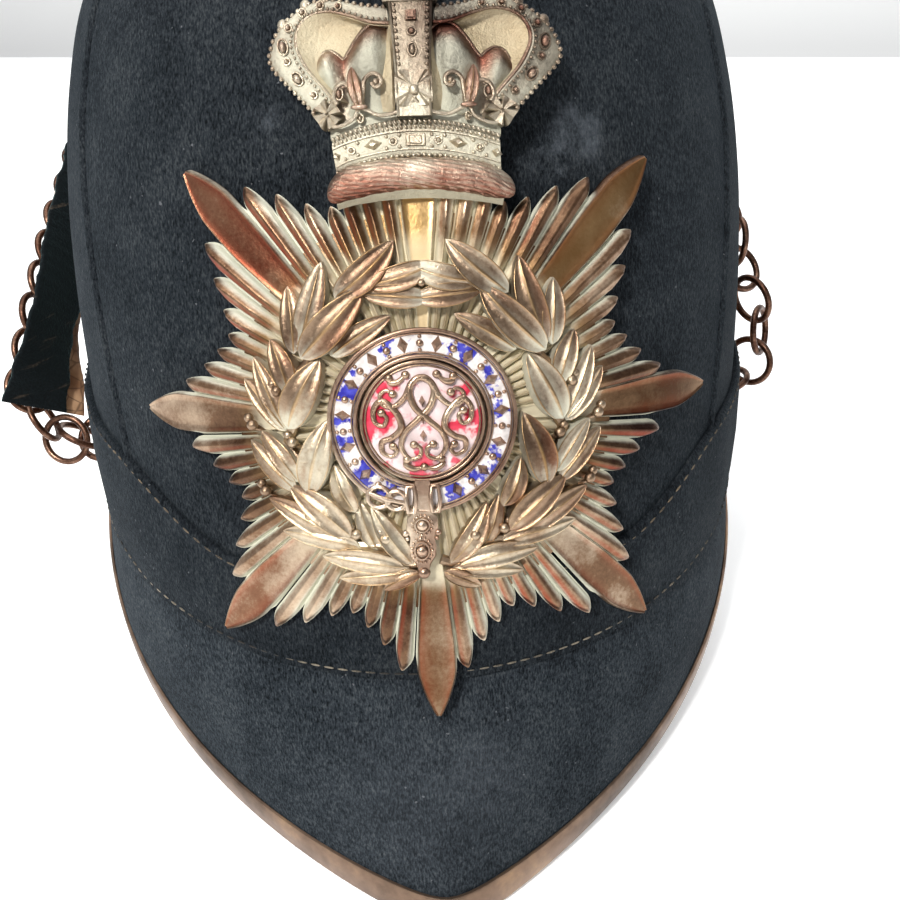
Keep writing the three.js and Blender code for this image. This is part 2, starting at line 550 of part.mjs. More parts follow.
function plateWreath() {
  const { low, stalkInner, stalkOuter, stalkHigh, ends } = WREATH;
  const turn = steps(18, ends - 360, 180 - ends).map(THREE.MathUtils.degToRad);
  const stations = turn.map((angle) => {
    const at = (r, w) => plateAt(r * Math.cos(angle), r * Math.sin(angle), w);
    return [at(stalkInner, low), at(stalkOuter, low), at(stalkOuter, stalkHigh), at(stalkInner, stalkHigh)];
  });
  const stalk = loft(stations, [[0, 0], [1, 0], [1, 1], [0, 1]]);
  const leaves = LEAVES.flatMap((row, i) => [1, -1].map((side) => leaf(row, side, low + 0.11 * (1 + (i % 4)))));
  const bow = plateBlock([[-1, 0.5], [-0.55, 1], [0.55, 1], [1, 0.5], [1, -0.5], [0.55, -1], [-0.55, -1], [-1, -0.5]]
    .map(([a, b]) => [a * BOW.half, BOW.v + b * BOW.height]), low, BOW.high);
  return joined([stalk, ...leaves, bow]);
}

function plateCrown() {
  const pieces = [];
  const bowed = (u, half, bow) => bow * (1 - (u / half) ** 2);
  const roll = CROWN_ROLL;
  const rollSection = [[-1, 0], [-0.75, 0.7], [0, 1], [0.75, 0.7], [1, 0]];
  pieces.push(loft(steps(8, -1, 1).map((t) => {
    const u = t * roll.half;
    const plump = Math.sqrt(Math.max(1 - Math.abs(t) ** 4, 0.12));
    return rollSection.map(([side, up]) => plateAt(u, roll.v - roll.bow + bowed(u, roll.half, roll.bow)
      + (side * roll.height * plump) / 2, roll.low + up * (roll.high - roll.low) * plump));
  }), rollSection));
  const band = CROWN_BAND;
  const bandSection = [[0, 0], [1, 0], [1, 1], [0, 1]];
  pieces.push(loft(steps(6, -1, 1).map((t) => {
    const u = t * band.half;
    const lift = bowed(u, band.half, band.bow) - band.bow;
    return bandSection.map(([up, out]) => plateAt(u, (up ? band.high : band.low - 1) + lift,
      out ? band.face : band.back));
  }), bandSection));
  const size = CROWN_ARCH_SIZE;
  const archSide = (side) => {
    const route = new THREE.CatmullRomCurve3(CROWN_ARCH.map(({ u, v }) => new THREE.Vector3(side * u, v, 0)));
    return steps(8, 0, 1).map((t) => {
      const point = route.getPoint(t);
      const along = route.getTangent(t);
      const across = new THREE.Vector3(-along.y, along.x, 0).multiplyScalar(size.half);
      return { point, across };
    });
  };
  for (const side of [-1, 1]) {
    pieces.push(loft(archSide(side).map(({ point, across }) => [[-1, size.back], [1, size.back],
      [0.55, size.face], [-0.55, size.face]].map(([a, w]) => (
      plateAt(point.x + a * across.x, point.y + a * across.y, w)))), [[-1, 0], [1, 0], [1, 1], [-1, 1]]));
  }
  const middle = CROWN_MIDDLE;
  pieces.push(loft(steps(4, middle.low, middle.high).map((v) => [[-1, middle.back], [1, middle.back],
    [0.6, middle.face], [-0.6, middle.face]].map(([a, w]) => plateAt(a * middle.half, v, w))),
  [[-1, 0], [1, 0], [1, 1], [-1, 1]]));
  const rim = [...archSide(1).map(({ point }) => [point.x, point.y]),
    ...archSide(-1).reverse().map(({ point }) => [point.x, point.y])];
  const centre = [0, 55.5];
  const ring = (share, w) => rim.map(([u, v]) => plateAt(centre[0] + (u - centre[0]) * share,
    centre[1] + (v - centre[1]) * share, w));
  const cap = CROWN_CAP;
  pieces.push(wall([ring(0, cap.edge + cap.swell), ring(0.55, cap.edge + cap.swell), ring(1, cap.edge)],
    [ring(0, cap.back), ring(0.55, cap.back), ring(1, cap.back)], true));
  for (const { u, v, half, height, face } of CROWN_ORNAMENTS) {
    const outline = [[-1, -1], [0, -0.7], [1, -1], [0.7, 0], [1, 1], [0, 0.7], [-1, 1], [-0.7, 0]]
      .map(([a, b]) => [u + a * half, v + (b * height) / 2]);
    pieces.push(plateBlock(outline, band.back + 0.6, face));
  }
  const orb = ringOutline({ u: 0, v: ORB.v }, ORB.radius, 12);
  pieces.push(wall([orb.map(() => plateAt(0, ORB.v, ORB.back + ORB.radius)),
    ringOutline({ u: 0, v: ORB.v }, ORB.radius * 0.7, 12).map(([u, v]) => plateAt(u, v, ORB.back + ORB.radius * 0.75)),
    orb.map(([u, v]) => plateAt(u, v, ORB.back + 0.4))],
  [0, 0.7, 1].map((share) => orb.map(([u, v]) => plateAt(u * share, ORB.v + (v - ORB.v) * share, ORB.back - 0.2))), true));
  return joined(pieces);
}

// ---------------------------------------------------------------- chin chain
const strapCurve = new THREE.CatmullRomCurve3(STRAP_ROUTE.map(({ x, y, z }) => new THREE.Vector3(x, y, z)));

// Place on the strap: middle line point, direction along, outer face direction and direction across.
function strapFrame(share) {
  const t = strapCurve.getUtoTmapping(share);
  const point = strapCurve.getPoint(t);
  const along = strapCurve.getTangent(t);
  const span = t * (STRAP_ROUTE.length - 1);
  const low = Math.min(Math.floor(span), STRAP_ROUTE.length - 2);
  const [a, b] = [STRAP_ROUTE[low], STRAP_ROUTE[low + 1]];
  const out = new THREE.Vector3(a.ox, a.oy, a.oz).lerp(new THREE.Vector3(b.ox, b.oy, b.oz), span - low);
  out.addScaledVector(along, -out.dot(along)).normalize();
  return { point, along, out, across: new THREE.Vector3().crossVectors(along, out).normalize() };
}

// A layer of the strap between two heights over its middle line, the face shared with its neighbour first.
function strapLayer(half, near, far) {
  const outline = [[-half, near], [half, near], [half, far], [-half, far]];
  const stations = steps(32, 0, 1).map((share) => {
    const { point, out, across } = strapFrame(share);
    return outline.map(([a, w]) => point.clone().addScaledVector(across, a).addScaledVector(out, w));
  });
  return loft(stations, outline);
}

// A ring as a mesh of its own: centre, and the direction that looks through it.
function addRing(name, centre, through) {
  const geometry = new THREE.TorusGeometry(RING.radius, RING.wire, RING.sides, RING.segments);
  const ring = addPiece(name, geometry, BRASS);
  ring.position.copy(centre);
  ring.quaternion.setFromUnitVectors(new THREE.Vector3(0, 0, 1), through.clone().normalize());
}

function addChain() {
  const outer = LEATHER.thickness + STRAP_RING_LIFT;
  const count = Math.round(strapCurve.getLength() / STRAP_RING_PITCH);
  const number = (i) => String(i).padStart(2, '0');
  for (let i = 0; i < count; i += 1) {
    const { point, along, out } = strapFrame((i + 0.5) / count);
    const tilt = THREE.MathUtils.degToRad(STRAP_RING_TILT);
    const through = out.clone().multiplyScalar(Math.cos(tilt)).addScaledVector(along, Math.sin(tilt));
    addRing(`chain_ring_${number(i + 1)}`, point.addScaledVector(out, outer), through);
  }
  LEFT_RINGS.forEach(({ x, y, z, nx, ny, nz }, i) => addRing(`left_ring_${i + 1}`,
    new THREE.Vector3(x, y, z), new THREE.Vector3(nx, ny, nz)));
  RIGHT_RINGS.forEach(({ x, y, z, nx, ny, nz }, i) => addRing(`right_ring_${i + 1}`,
    new THREE.Vector3(x, y, z), new THREE.Vector3(nx, ny, nz)));
}

// ---------------------------------------------------------------- assembly
const CLOTH = new THREE.MeshStandardMaterial({ color: 0x1b2029, roughness: 0.95, metalness: 0 });
const BRASS = new THREE.MeshStandardMaterial({ color: 0x7d6a55, roughness: 0.45, metalness: 1 });
const ENAMEL_BLUE = new THREE.MeshStandardMaterial({ color: 0x2c3560, roughness: 0.3, metalness: 0.2 });
const ENAMEL_RED = new THREE.MeshStandardMaterial({ color: 0xa03a3c, roughness: 0.3, metalness: 0.2 });
const TAN_LEATHER = new THREE.MeshStandardMaterial({ color: 0x7d6a58, roughness: 0.7, metalness: 0 });
const VELVET_CLOTH = new THREE.MeshStandardMaterial({ color: 0x0f1518, roughness: 1, metalness: 0 });
const BLACK_LEATHER = new THREE.MeshStandardMaterial({ color: 0x14110f, roughness: 0.35, metalness: 0 });

const helmet = new THREE.Group();
function addPiece(name, geometry, material) {
  const mesh = new THREE.Mesh(geometry, material);
  mesh.name = name;
  helmet.add(mesh);
  return mesh;
}

addPiece('crown_shell', crownShell(), CLOTH);
addPiece('cloth_band', clothBand(), CLOTH);
addPiece('front_peak', peak(FRONT_TIP, FRONT_SWELL), CLOTH);
addPiece('back_peak', peak(BACK_TIP, BACK_SWELL), CLOTH);
addPiece('front_binding', binding(FRONT_TIP, FRONT_SWELL), BRASS);
addPiece('back_binding', binding(BACK_TIP, BACK_SWELL), BLACK_LEATHER);
addPiece('top_cap', topCap(), BRASS);
addPiece('back_hook', backHook(), BRASS);
addPiece('rosette_left', rosette(-1), BRASS);
addPiece('rosette_right', rosette(1), BRASS);
addPiece('plate_star', plateStar(), BRASS);
addPiece('plate_wreath', plateWreath(), BRASS);
addPiece('plate_crown', plateCrown(), BRASS);
addPiece('garter_belt', garterBelt(), ENAMEL_BLUE);
addPiece('plate_centre', plateCentre(), ENAMEL_RED);
addPiece('strap_leather', strapLayer(LEATHER.half, 0, LEATHER.thickness), TAN_LEATHER);
addPiece('strap_velvet', strapLayer(VELVET.half, -GAP, -GAP - VELVET.thickness), VELVET_CLOTH);
addChain();

// The origin goes under the middle of the helmet's bounding box, on the surface that it rests on.
const bounds = new THREE.Box3().setFromObject(helmet, true);
helmet.position.set(-(bounds.min.x + bounds.max.x) / 2, -(bounds.min.y + bounds.max.y) / 2, -bounds.min.z);

export default helmet;
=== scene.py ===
import math
import random

import bmesh
import bpy
from mathutils import Matrix, Vector


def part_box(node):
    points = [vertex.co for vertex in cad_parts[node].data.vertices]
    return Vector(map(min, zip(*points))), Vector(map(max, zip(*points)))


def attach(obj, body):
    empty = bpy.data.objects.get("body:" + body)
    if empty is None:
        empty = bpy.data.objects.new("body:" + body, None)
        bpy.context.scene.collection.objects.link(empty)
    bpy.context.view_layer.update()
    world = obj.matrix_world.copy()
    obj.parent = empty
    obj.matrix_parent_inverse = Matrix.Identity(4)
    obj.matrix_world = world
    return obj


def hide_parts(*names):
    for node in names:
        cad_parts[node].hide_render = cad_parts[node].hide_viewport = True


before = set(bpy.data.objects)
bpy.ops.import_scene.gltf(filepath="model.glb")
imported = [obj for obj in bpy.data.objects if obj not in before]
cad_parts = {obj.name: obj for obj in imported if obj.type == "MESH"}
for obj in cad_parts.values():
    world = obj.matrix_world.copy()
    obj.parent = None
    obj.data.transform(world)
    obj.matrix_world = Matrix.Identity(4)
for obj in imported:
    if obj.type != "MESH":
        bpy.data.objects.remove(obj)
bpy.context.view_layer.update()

# The view: the helmet stands on a white table and is seen from the front and above,
# from a hand's height over its brim, with a pale wall behind the table.
bpy.context.scene.view_settings.view_transform = "Standard"
MM = 0.001
EYE = Vector((1.15, -250.71, 159.57)) * MM
LOOK_RIGHT = Vector((0.9975, -0.0666, -0.0216))
LOOK_UP = Vector((0.0503, 0.4662, 0.8832))
TABLE_FAR = ((-4, 3.354), (4, 0.469))
camera = bpy.data.objects.new("camera", bpy.data.cameras.new("camera"))
camera.data.lens = 35.89
camera.data.sensor_width = 36
camera.data.clip_start = 0.01
look_back = LOOK_RIGHT.cross(LOOK_UP).normalized()
turn = Matrix((LOOK_RIGHT, look_back.cross(LOOK_RIGHT).normalized(), look_back)).transposed()
camera.matrix_world = Matrix.Translation(EYE) @ turn.to_4x4()
bpy.context.collection.objects.link(camera)
bpy.context.scene.camera = camera


class Finish:
    """A material: its Principled shader, and the chains of nodes that feed it, in object coordinates."""

    def __init__(self, name, **sockets):
        self.material = bpy.data.materials.new(name)
        self.material.use_nodes = True
        self.tree = self.material.node_tree
        self.shader = self.tree.nodes["Principled BSDF"]
        for key, value in sockets.items():
            self.shader.inputs[key.replace("_", " ")].default_value = value
        self.where = self.node("TexCoord", output="Object")

    def node(self, kind, inputs=None, output=0, **settings):
        """The output of a new node, each of its inputs a value or another node's output."""
        made = self.tree.nodes.new("ShaderNode" + kind)
        for key, value in settings.items():
            setattr(made, key, value)
        for key, value in (inputs or {}).items():
            if isinstance(value, bpy.types.NodeSocket):
                self.tree.links.new(value, made.inputs[key])
            else:
                made.inputs[key].default_value = value
        return made.outputs[output]

    def noise(self, scale, detail=2.0, roughness=0.5, where=None, output="Fac"):
        return self.node("TexNoise", {"Vector": self.where if where is None else where, "Scale": scale,
                                      "Detail": detail, "Roughness": roughness}, output)

    def edges(self, scale):
        """How far each point lies from the borders of a pattern of cells."""
        return self.node("TexVoronoi", {"Vector": self.where, "Scale": scale}, "Distance",
                         feature="DISTANCE_TO_EDGE")

    def maths(self, operation, *values, clamp=False):
        return self.node("Math", dict(enumerate(values)), operation=operation, use_clamp=clamp)

    def blend(self, share, first, second):
        return self.node("MixRGB", {"Fac": share, "Color1": first, "Color2": second}, "Color")

    def ranged(self, value, low, high, start=0.0, end=1.0, kind="LINEAR"):
        return self.node("MapRange", {"Value": value, "From Min": low, "From Max": high,
                                      "To Min": start, "To Max": end}, interpolation_type=kind)

    def ramp(self, value, *stops):
        """A colour ramp over value, its stops given as (place, colour)."""
        colours = self.node("ValToRGB", {"Fac": value}, "Color")
        made = colours.node.color_ramp.elements
        while len(made) < len(stops):
            made.new(0.5)
        for stop, (place, colour) in zip(made, stops):
            stop.position, stop.color = place, colour
        return colours

    def feed(self, socket, value):
        self.tree.links.new(value, self.shader.inputs[socket])

    def coat(self, colour, height=None, strength=0.0, distance=0.0):
        """Give the shader its colour, and a bump that follows height."""
        self.colour = colour
        self.feed("Base Color", colour)
        if height is not None:
            bump = self.node("Bump", {"Height": height, "Strength": strength, "Distance": distance}, "Normal")
            self.feed("Normal", bump)


def shaded(colour, *shares):
    """A colour with its channels multiplied."""
    return (*(channel * share for channel, share in zip(colour, shares)), 1)


def new_mesh(name, bm, finish):
    """A new object from a mesh, which is used up, and a finish."""
    mesh = bpy.data.meshes.new(name)
    bm.to_mesh(mesh)
    bm.free()
    mesh.materials.append(finish.material)
    made = bpy.data.objects.new(name, mesh)
    bpy.context.collection.objects.link(made)
    return made


def stage_plane(name, corners, colour, roughness, glow):
    bm = bmesh.new()
    bm.faces.new([bm.verts.new(corner) for corner in corners])
    finish = Finish(name, Roughness=roughness, Emission_Strength=glow, Emission_Color=(1, 1, 1, 1))
    finish.coat(finish.blend(finish.noise(3.0), (*colour, 1), shaded(colour, 0.97, 0.97, 0.97)))
    new_mesh(name, bm, finish)


(left, left_far), (right, right_far) = TABLE_FAR
stage_plane("table", ((left, -3, 0), (right, -3, 0), (right, right_far, 0), (left, left_far, 0)),
            (0.93, 0.93, 0.925), 0.6, 0.38)
stage_plane("wall", ((left, left_far + 0.3, -1.5), (right, right_far + 0.3, -1.5),
                     (right, right_far + 0.3, 3), (left, left_far + 0.3, 3)), (0.72, 0.725, 0.71), 0.8, 0.36)
HELMET_MIDDLE = (0, -0.08, 0.1)
LAMPS = (("key_light", (-0.34, -0.70, 0.72), HELMET_MIDDLE, 0.11, 10.5, (1, 0.985, 0.96)),
         ("top_light", (-0.15, 0.1, 1.5), HELMET_MIDDLE, 1.6, 19.5, (0.97, 0.985, 1)),
         ("right_light", (1.1, -0.9, 0.8), HELMET_MIDDLE, 0.8, 1.4, (1, 0.97, 0.93)),
         ("left_light", (-1.3, -0.2, 0.7), HELMET_MIDDLE, 0.9, 2.4, (0.95, 0.98, 1)),
         ("wall_light", (0, 1.0, 1.6), (0, 2.4, 0.4), 1.5, 17, (1, 1, 1)))  # place, target, size, watts, colour
for name, place, target, size, watts, colour in LAMPS:
    light = bpy.data.lights.new(name, "AREA")
    light.size, light.energy, light.color = size, watts, colour
    holder = bpy.data.objects.new(name, light)
    away = Vector(place) - Vector(target)
    holder.matrix_world = Matrix.Translation(place) @ away.to_track_quat("Z", "Y").to_matrix().to_4x4()
    bpy.context.collection.objects.link(holder)
world = bpy.data.worlds.new("world")
world.use_nodes = True
sky = world.node_tree.nodes["Background"].inputs
sky["Color"].default_value = (0.9, 0.93, 1, 1)
sky["Strength"].default_value = 0.2
bpy.context.scene.world = world

# The body of the helmet: moulded cork covered in dark blue melton cloth, cut in four panels
# whose seams run up from the band to the cap; lined inside. It is one closed shell.
SECTIONS = ((48, 83.6, 121.6, 117.5), (64, 84.0, 119.2, 117.2), (82, 83.6, 115.2, 115.4),
            (100, 83.0, 110.0, 112.0), (120, 81.1, 103.0, 106.0), (140, 77.1, 94.4, 97.5),
            (158, 70.5, 84.0, 86.0), (173, 58.5, 68.5, 70.0), (184, 42.5, 50.0, 51.0),
            (190.6, 22.5, 26.5, 27.0), (193, 0, 0, 0))  # height, half width, front depth, back depth


def box(node_name):
    """The lowest and highest corner of a part's node in millimetres."""
    return [Vector(corner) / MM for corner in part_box(node_name)]


shell_low, shell_high = box("crown_shell")
AXIS = Vector(((shell_low.x + shell_high.x) / 2, shell_low.y + SECTIONS[0][2], 0))


def spline(before, start, end, after, t):
    """The Catmull-Rom point between start and end, for numbers or vectors."""
    return (start + (end - before) * (0.5 * t)
            + (before - 2.5 * start + 2 * end - 0.5 * after) * t * t
            + (1.5 * (start - end) + 0.5 * (after - before)) * t * t * t)


def dome_section(t):
    """Height, half width and depths of the dome, t running from its lower edge to its top."""
    place = min(max(t, 0), 1) * (len(SECTIONS) - 1)
    i = min(int(place), len(SECTIONS) - 2)
    start, end = SECTIONS[i], SECTIONS[i + 1]
    before = SECTIONS[i - 1] if i else tuple(2 * a - b for a, b in zip(start, end))
    top = SECTIONS[-2]
    after = SECTIONS[i + 2] if i + 2 < len(SECTIONS) else (top[0], -top[1], -top[2], -top[3])
    return [spline(*values, place - i) for values in zip(before, start, end, after)]


def dome_point(angle, t, out=0):
    """A point of the dome; angle 0 is the front and a quarter turn the wearer's left side."""
    z, half, front, back = dome_section(t)
    depth = front if math.cos(angle) > 0 else back
    return AXIS + Vector(((half + out) * math.sin(angle), -(depth + out) * math.cos(angle), z))


def skin(bm, columns, rows, place, cap=False):
    """A grid laid where place(column, row) says, its meeting edges welded, its open ends closed."""
    made = bmesh.ops.create_grid(bm, x_segments=columns, y_segments=rows, size=1)["verts"]
    for vert in made:
        column = round((vert.co.x + 1) / 2 * columns)
        row = round((vert.co.y + 1) / 2 * rows)
        vert.co = place(column, row)
    bmesh.ops.remove_doubles(bm, verts=made, dist=0.0005)
    made = [vert for vert in made if vert.is_valid]
    if cap:
        rims = list({edge for vert in made for edge in vert.link_edges if edge.is_boundary})
        bmesh.ops.holes_fill(bm, edges=rims, sides=0)
    return made


def new_piece(name, bm, finish, slot, *nodes, sharp=40):
    """A finished piece from a mesh in millimetres, which rides with the helmet and stands for its nodes."""
    bmesh.ops.scale(bm, vec=(MM, MM, MM), verts=bm.verts)
    bmesh.ops.recalc_face_normals(bm, faces=bm.faces)
    for face in bm.faces:
        face.smooth = True
    piece = new_mesh(name, bm, finish)
    piece.data.set_sharp_from_angle(angle=math.radians(sharp))
    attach(piece, "root")
    if nodes:
        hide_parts(*nodes)
    return piece


def srgb(red, green, blue):
    """A colour of the 0 to 255 scale as the shader wants it."""
    channels = (value / 255 for value in (red, green, blue))
    return (*(c / 12.92 if c < 0.04045 else ((c + 0.055) / 1.055) ** 2.4 for c in channels), 1)


CLOTH_DARK = srgb(5, 7, 9)
LINT = srgb(120, 122, 126)
DUST_AND_LIGHT = srgb(150, 158, 168)


def cloth_finish(name, light):
    """Milled woollen cloth: a felted nap over a hidden weave, with a little lint and a soft sheen."""
    cloth = Finish(name, Roughness=0.95, Sheen_Weight=0.04, Sheen_Roughness=0.5, Sheen_Tint=(0.5, 0.66, 0.8, 1),
                   Specular_IOR_Level=0.06)
    combed = cloth.node("Mapping", {"Vector": cloth.where, "Scale": (1, 0.3, 0.4)})
    nap = cloth.noise(2900.0, 3.0, 0.7, combed)
    felt = cloth.maths("MULTIPLY", cloth.noise(60.0, 6.0, 0.7), 0.3)
    mixed = cloth.maths("MULTIPLY_ADD", nap, 0.7, felt)
    colour = cloth.ramp(mixed, (0.39, CLOTH_DARK), (0.52, light), (0.67, shaded(light, 3.1, 2.8, 2.4)))
    strewn = cloth.blend(0.0012, cloth.where, cloth.noise(900.0, output="Color"))
    specks = cloth.node("TexVoronoi", {"Vector": strewn, "Scale": 560.0}, "Distance")
    near = cloth.maths("LESS_THAN", specks, 0.12)
    chosen = cloth.maths("GREATER_THAN", cloth.noise(160.0, 1.0), 0.62)
    faint = cloth.maths("MULTIPLY", cloth.maths("MULTIPLY", near, chosen), 0.4)
    cloth.coat(cloth.blend(faint, colour, LINT), nap, 0.7, 0.0004)
    return cloth


def add_dust_and_light(cloth, *patches):
    """Ragged pale patches blended into the nap, each given as its place, radius and strength: dust, and on the front
    peak one broad painted pool of light.
    """
    for place, radius, strength in patches:
        centred = cloth.node("Mapping", {"Vector": cloth.where, "Location": Vector(place) * -MM})
        far = cloth.node("VectorMath", {0: centred}, "Value", operation="LENGTH")
        ragged = cloth.maths("MULTIPLY_ADD", cloth.noise(260.0, 6.0, 0.75), 0.022, far)
        share = cloth.ranged(ragged, 0.008, (radius + 11) * MM, strength, 0.0, "SMOOTHSTEP")
        cloth.coat(cloth.blend(share, cloth.colour, DUST_AND_LIGHT))


crown_cloth = cloth_finish("crown_cloth", srgb(30, 34, 38))
add_dust_and_light(crown_cloth, ((32, -93, 135), 8, 0.16), ((-19, -95, 139), 4, 0.09), ((26, -96, 131), 5, 0.13))
lining = Finish("lining", Roughness=0.8)
lining.coat(lining.ramp(lining.noise(300.0, 4.0), (0.3, srgb(52, 40, 30)), (0.7, srgb(88, 70, 52))))
SHELL_WALL = 3.0
DOME_COLUMNS, DOME_ROWS = 192, 72
bm = bmesh.new()
skin(bm, DOME_COLUMNS, DOME_ROWS,
     lambda i, j: dome_point(math.tau * (i % DOME_COLUMNS) / DOME_COLUMNS, (j / DOME_ROWS) ** 0.8))
dome = new_piece("cloth_dome", bm, crown_cloth, "blue_cloth", "crown_shell")
dome.data.materials.append(lining.material)
wall = dome.modifiers.new("wall", "SOLIDIFY")
wall.thickness = SHELL_WALL * MM
wall.offset = -1
wall.material_offset = 1

# The four seams of the cover: the panels' edges are turned in, sewn and pressed,
# which leaves a narrow raised welt up each side, front and back.


def dome_share(z):
    """How far up the dome the height z lies, as dome_section wants it."""
    low, high = 0.0, 1.0
    for _ in range(24):
        middle = (low + high) / 2
        low, high = (middle, high) if dome_section(middle)[0] < z else (low, middle)
    return low


def dome_normal(angle, t):
    t = min(t, 0.985)
    along = dome_point(angle + 0.01, t) - dome_point(angle - 0.01, t)
    up = dome_point(angle, t + 0.005) - dome_point(angle, t - 0.005)
    return along.cross(up).normalized()


def sweep(bm, stations, outline, closed=False):
    """A closed outline carried along stations, each a point with its sideways and upward directions."""
    count = len(outline)

    def place(column, row):
        point, side, up = stations[row % len(stations)]
        a, b = outline[column % count]
        return point + side * a + up * b
    return skin(bm, count, len(stations) - (0 if closed else 1), place, cap=not closed)


UP = Vector((0, 0, 1))
WELT = ((-1.9, -0.5), (-1.5, 0.25), (-0.7, 0.72), (0, 0.85), (0.7, 0.72), (1.5, 0.25), (1.9, -0.5))
WELT_START, WELT_END, WELT_STEPS = 70, 190.5, 80
for name, facing, side in (("front_left", 0, -1), ("front_right", 0, 1), ("back_left", 1, -1), ("back_right", 1, 1)):
    bm = bmesh.new()
    stations = []
    for step in range(WELT_STEPS + 1):
        z = WELT_START + (WELT_END - WELT_START) * (step / WELT_STEPS)
        share = dome_share(z)
        lean = math.radians(44.5 + 9.5 * min((z - WELT_START) / 62, 1) + 4 * max((z - 132) / 60, 0))
        angle = side * (math.pi - lean if facing else lean)
        up = dome_normal(angle, share)
        stations.append((dome_point(angle, share), up.cross(UP).normalized(), up))
    sweep(bm, stations, WELT)
    new_piece("welt_" + name, bm, crown_cloth, "blue_cloth")

# The band: a strip of the same cloth sewn round the foot of the dome over the peaks' roots.
# It rises at the sides, and a row of stitches runs along each edge.
BAND_FOOT = 48.0
BAND_OUT = 1.7
BAND_STEPS = 240


def smooth_step(value, low, high):
    t = min(max((value - low) / (high - low), 0), 1)
    return t * t * (3 - 2 * t)


def band_top(angle):
    return 66.4 + 9.4 * smooth_step(abs(math.sin(angle)), 0.40, 0.74)


def band_station(angle):
    """Ways up and out of the band at an angle, as (height, way out) to be placed on the dome."""
    top = band_top(angle)
    return ((BAND_FOOT, 0.1), (BAND_FOOT - 0.2, 0.9), (BAND_FOOT + 0.3, BAND_OUT),
            (BAND_FOOT + 2.2, BAND_OUT - 0.15),
            (BAND_FOOT + 6, BAND_OUT), ((BAND_FOOT + top) / 2, BAND_OUT + 0.1), (top - 4, BAND_OUT),
            (top - 2.0, BAND_OUT - 0.3), (top - 0.9, BAND_OUT), (top - 0.3, BAND_OUT - 0.3), (top, 0.9),
            (top - 0.2, 0.1))


def band_point(column, row):
    angle = math.tau * (row % BAND_STEPS) / BAND_STEPS
    stations = band_station(angle)
    z, out = stations[column % len(stations)]
    ripple = 0.12 * math.sin(angle * 31) + 0.1 * math.sin(angle * 17 + 1)
    return dome_point(angle, dome_share(z), out + (ripple if out > 1 else 0)) + UP * min(z - BAND_FOOT, 0)


bm = bmesh.new()
skin(bm, len(band_station(0)), BAND_STEPS, band_point)
# The band's cloth is tinted a little darker than the dome's, a painted shade.
new_piece("cloth_band_strip", bm, cloth_finish("band_cloth", srgb(28, 32, 36)), "blue_cloth", "cloth_band")


def thread_finish(name, colour):
    """Waxed thread, worn and soiled."""
    thread = Finish(name, Roughness=0.8)
    both = thread.maths("MULTIPLY_ADD", thread.noise(2500.0), 0.3, thread.noise(55.0, 3.0))
    thread.coat(thread.ramp(both, (0.56, shaded(colour, 0.06, 0.06, 0.06)), (0.78, colour)))
    return thread


def stone(bm, place, sizes, turn=Matrix(), u=12, v=8):
    """A ball at a place, stretched to sizes and turned."""
    spot = Matrix.Translation(place) @ turn @ Matrix.Diagonal((*sizes, 1))
    return bmesh.ops.create_uvsphere(bm, u_segments=u, v_segments=v, radius=1, matrix=spot)["verts"]


STITCH, STITCH_THICK = 2.0, 0.36
STITCH_ENDS = 420
for name, level, colour in (("lower", lambda a: BAND_FOOT + 1.5, srgb(116, 108, 94)),
                            ("upper", lambda a: band_top(a) - 0.8, srgb(112, 98, 78))):
    bm = bmesh.new()
    angles = [math.tau * step / STITCH_ENDS for step in range(STITCH_ENDS)]
    points = [dome_point(a, dome_share(level(a)), BAND_OUT - 0.05) for a in angles]
    for angle, start, end in zip(angles[::2], points[::2], points[1::2]):
        up = dome_normal(angle, dome_share(level(angle)))
        along = (end - start).normalized()
        turn = Matrix((along, up.cross(along).normalized(), up)).transposed().to_4x4()
        stone(bm, (start + end) / 2, (STITCH / 2, STITCH_THICK / 2, STITCH_THICK / 2), turn, 8, 5)
    new_piece("band_stitches_" + name, bm, thread_finish("thread_" + name, colour), "blue_cloth")

# The peaks: stiffened felt under the same cloth, long and pointed in front, sloping down the
# neck at the back. Their roots are sewn under the band and their sides meet at the bosses.
PEAK_WALL = 2.2
PEAK_LEAD = 0.8
JOINT = Vector((87.9, 2.5, 40.5))
FRONT_TIP = dict(y=-141.3, z=1.5, rise=1.65, lead=25.9, spread=41.7, turn_y=78.4, turn_z=30.4, blunt=5.3)
BACK_TIP = dict(y=151, z=2.2, rise=0, lead=2, spread=46, turn_y=92, turn_z=33, blunt=0)


def rim_point(tip, column):
    """The peak's outer edge, from its tip at column 0 to the side joints at 1 and -1."""
    facing = math.copysign(1, tip["y"])
    t = abs(column)
    a, b, c, d = (Vector((0, tip["y"], tip["z"])),
                  Vector((tip["spread"], tip["y"] - facing * tip["lead"], tip["z"] + tip["rise"])),
                  Vector((JOINT.x, JOINT.y + facing * tip["turn_y"], JOINT.z - tip["turn_z"])),
                  Vector((JOINT.x, JOINT.y + facing * 0.7, JOINT.z)))
    point = a * (1 - t) ** 3 + b * 3 * t * (1 - t) ** 2 + c * 3 * t * t * (1 - t) + d * t ** 3
    point.y -= facing * 0.62 * (math.hypot(point.x, tip["blunt"]) - point.x)
    return Vector((math.copysign(point.x, column) if column else 0, point.y, point.z))


def peak_point(tip, swell, column, row):
    rim = rim_point(tip, column)
    _, half, front, back = SECTIONS[0]
    angle = math.atan2(rim.x / half, -rim.y / (front if rim.y < 0 else back))
    root = dome_point(angle, 0, PEAK_LEAD) - AXIS
    root.z = BAND_FOOT - 0.3
    fall = rim - root
    out = Vector((fall.x, fall.y, 0)).normalized()
    face = Vector((out.x * -fall.z, out.y * -fall.z, fall.xy.length)).normalized()
    lift = swell * 4 * row * (1 - row) * (1 - column ** 2)
    return AXIS + root + fall * row + face * lift


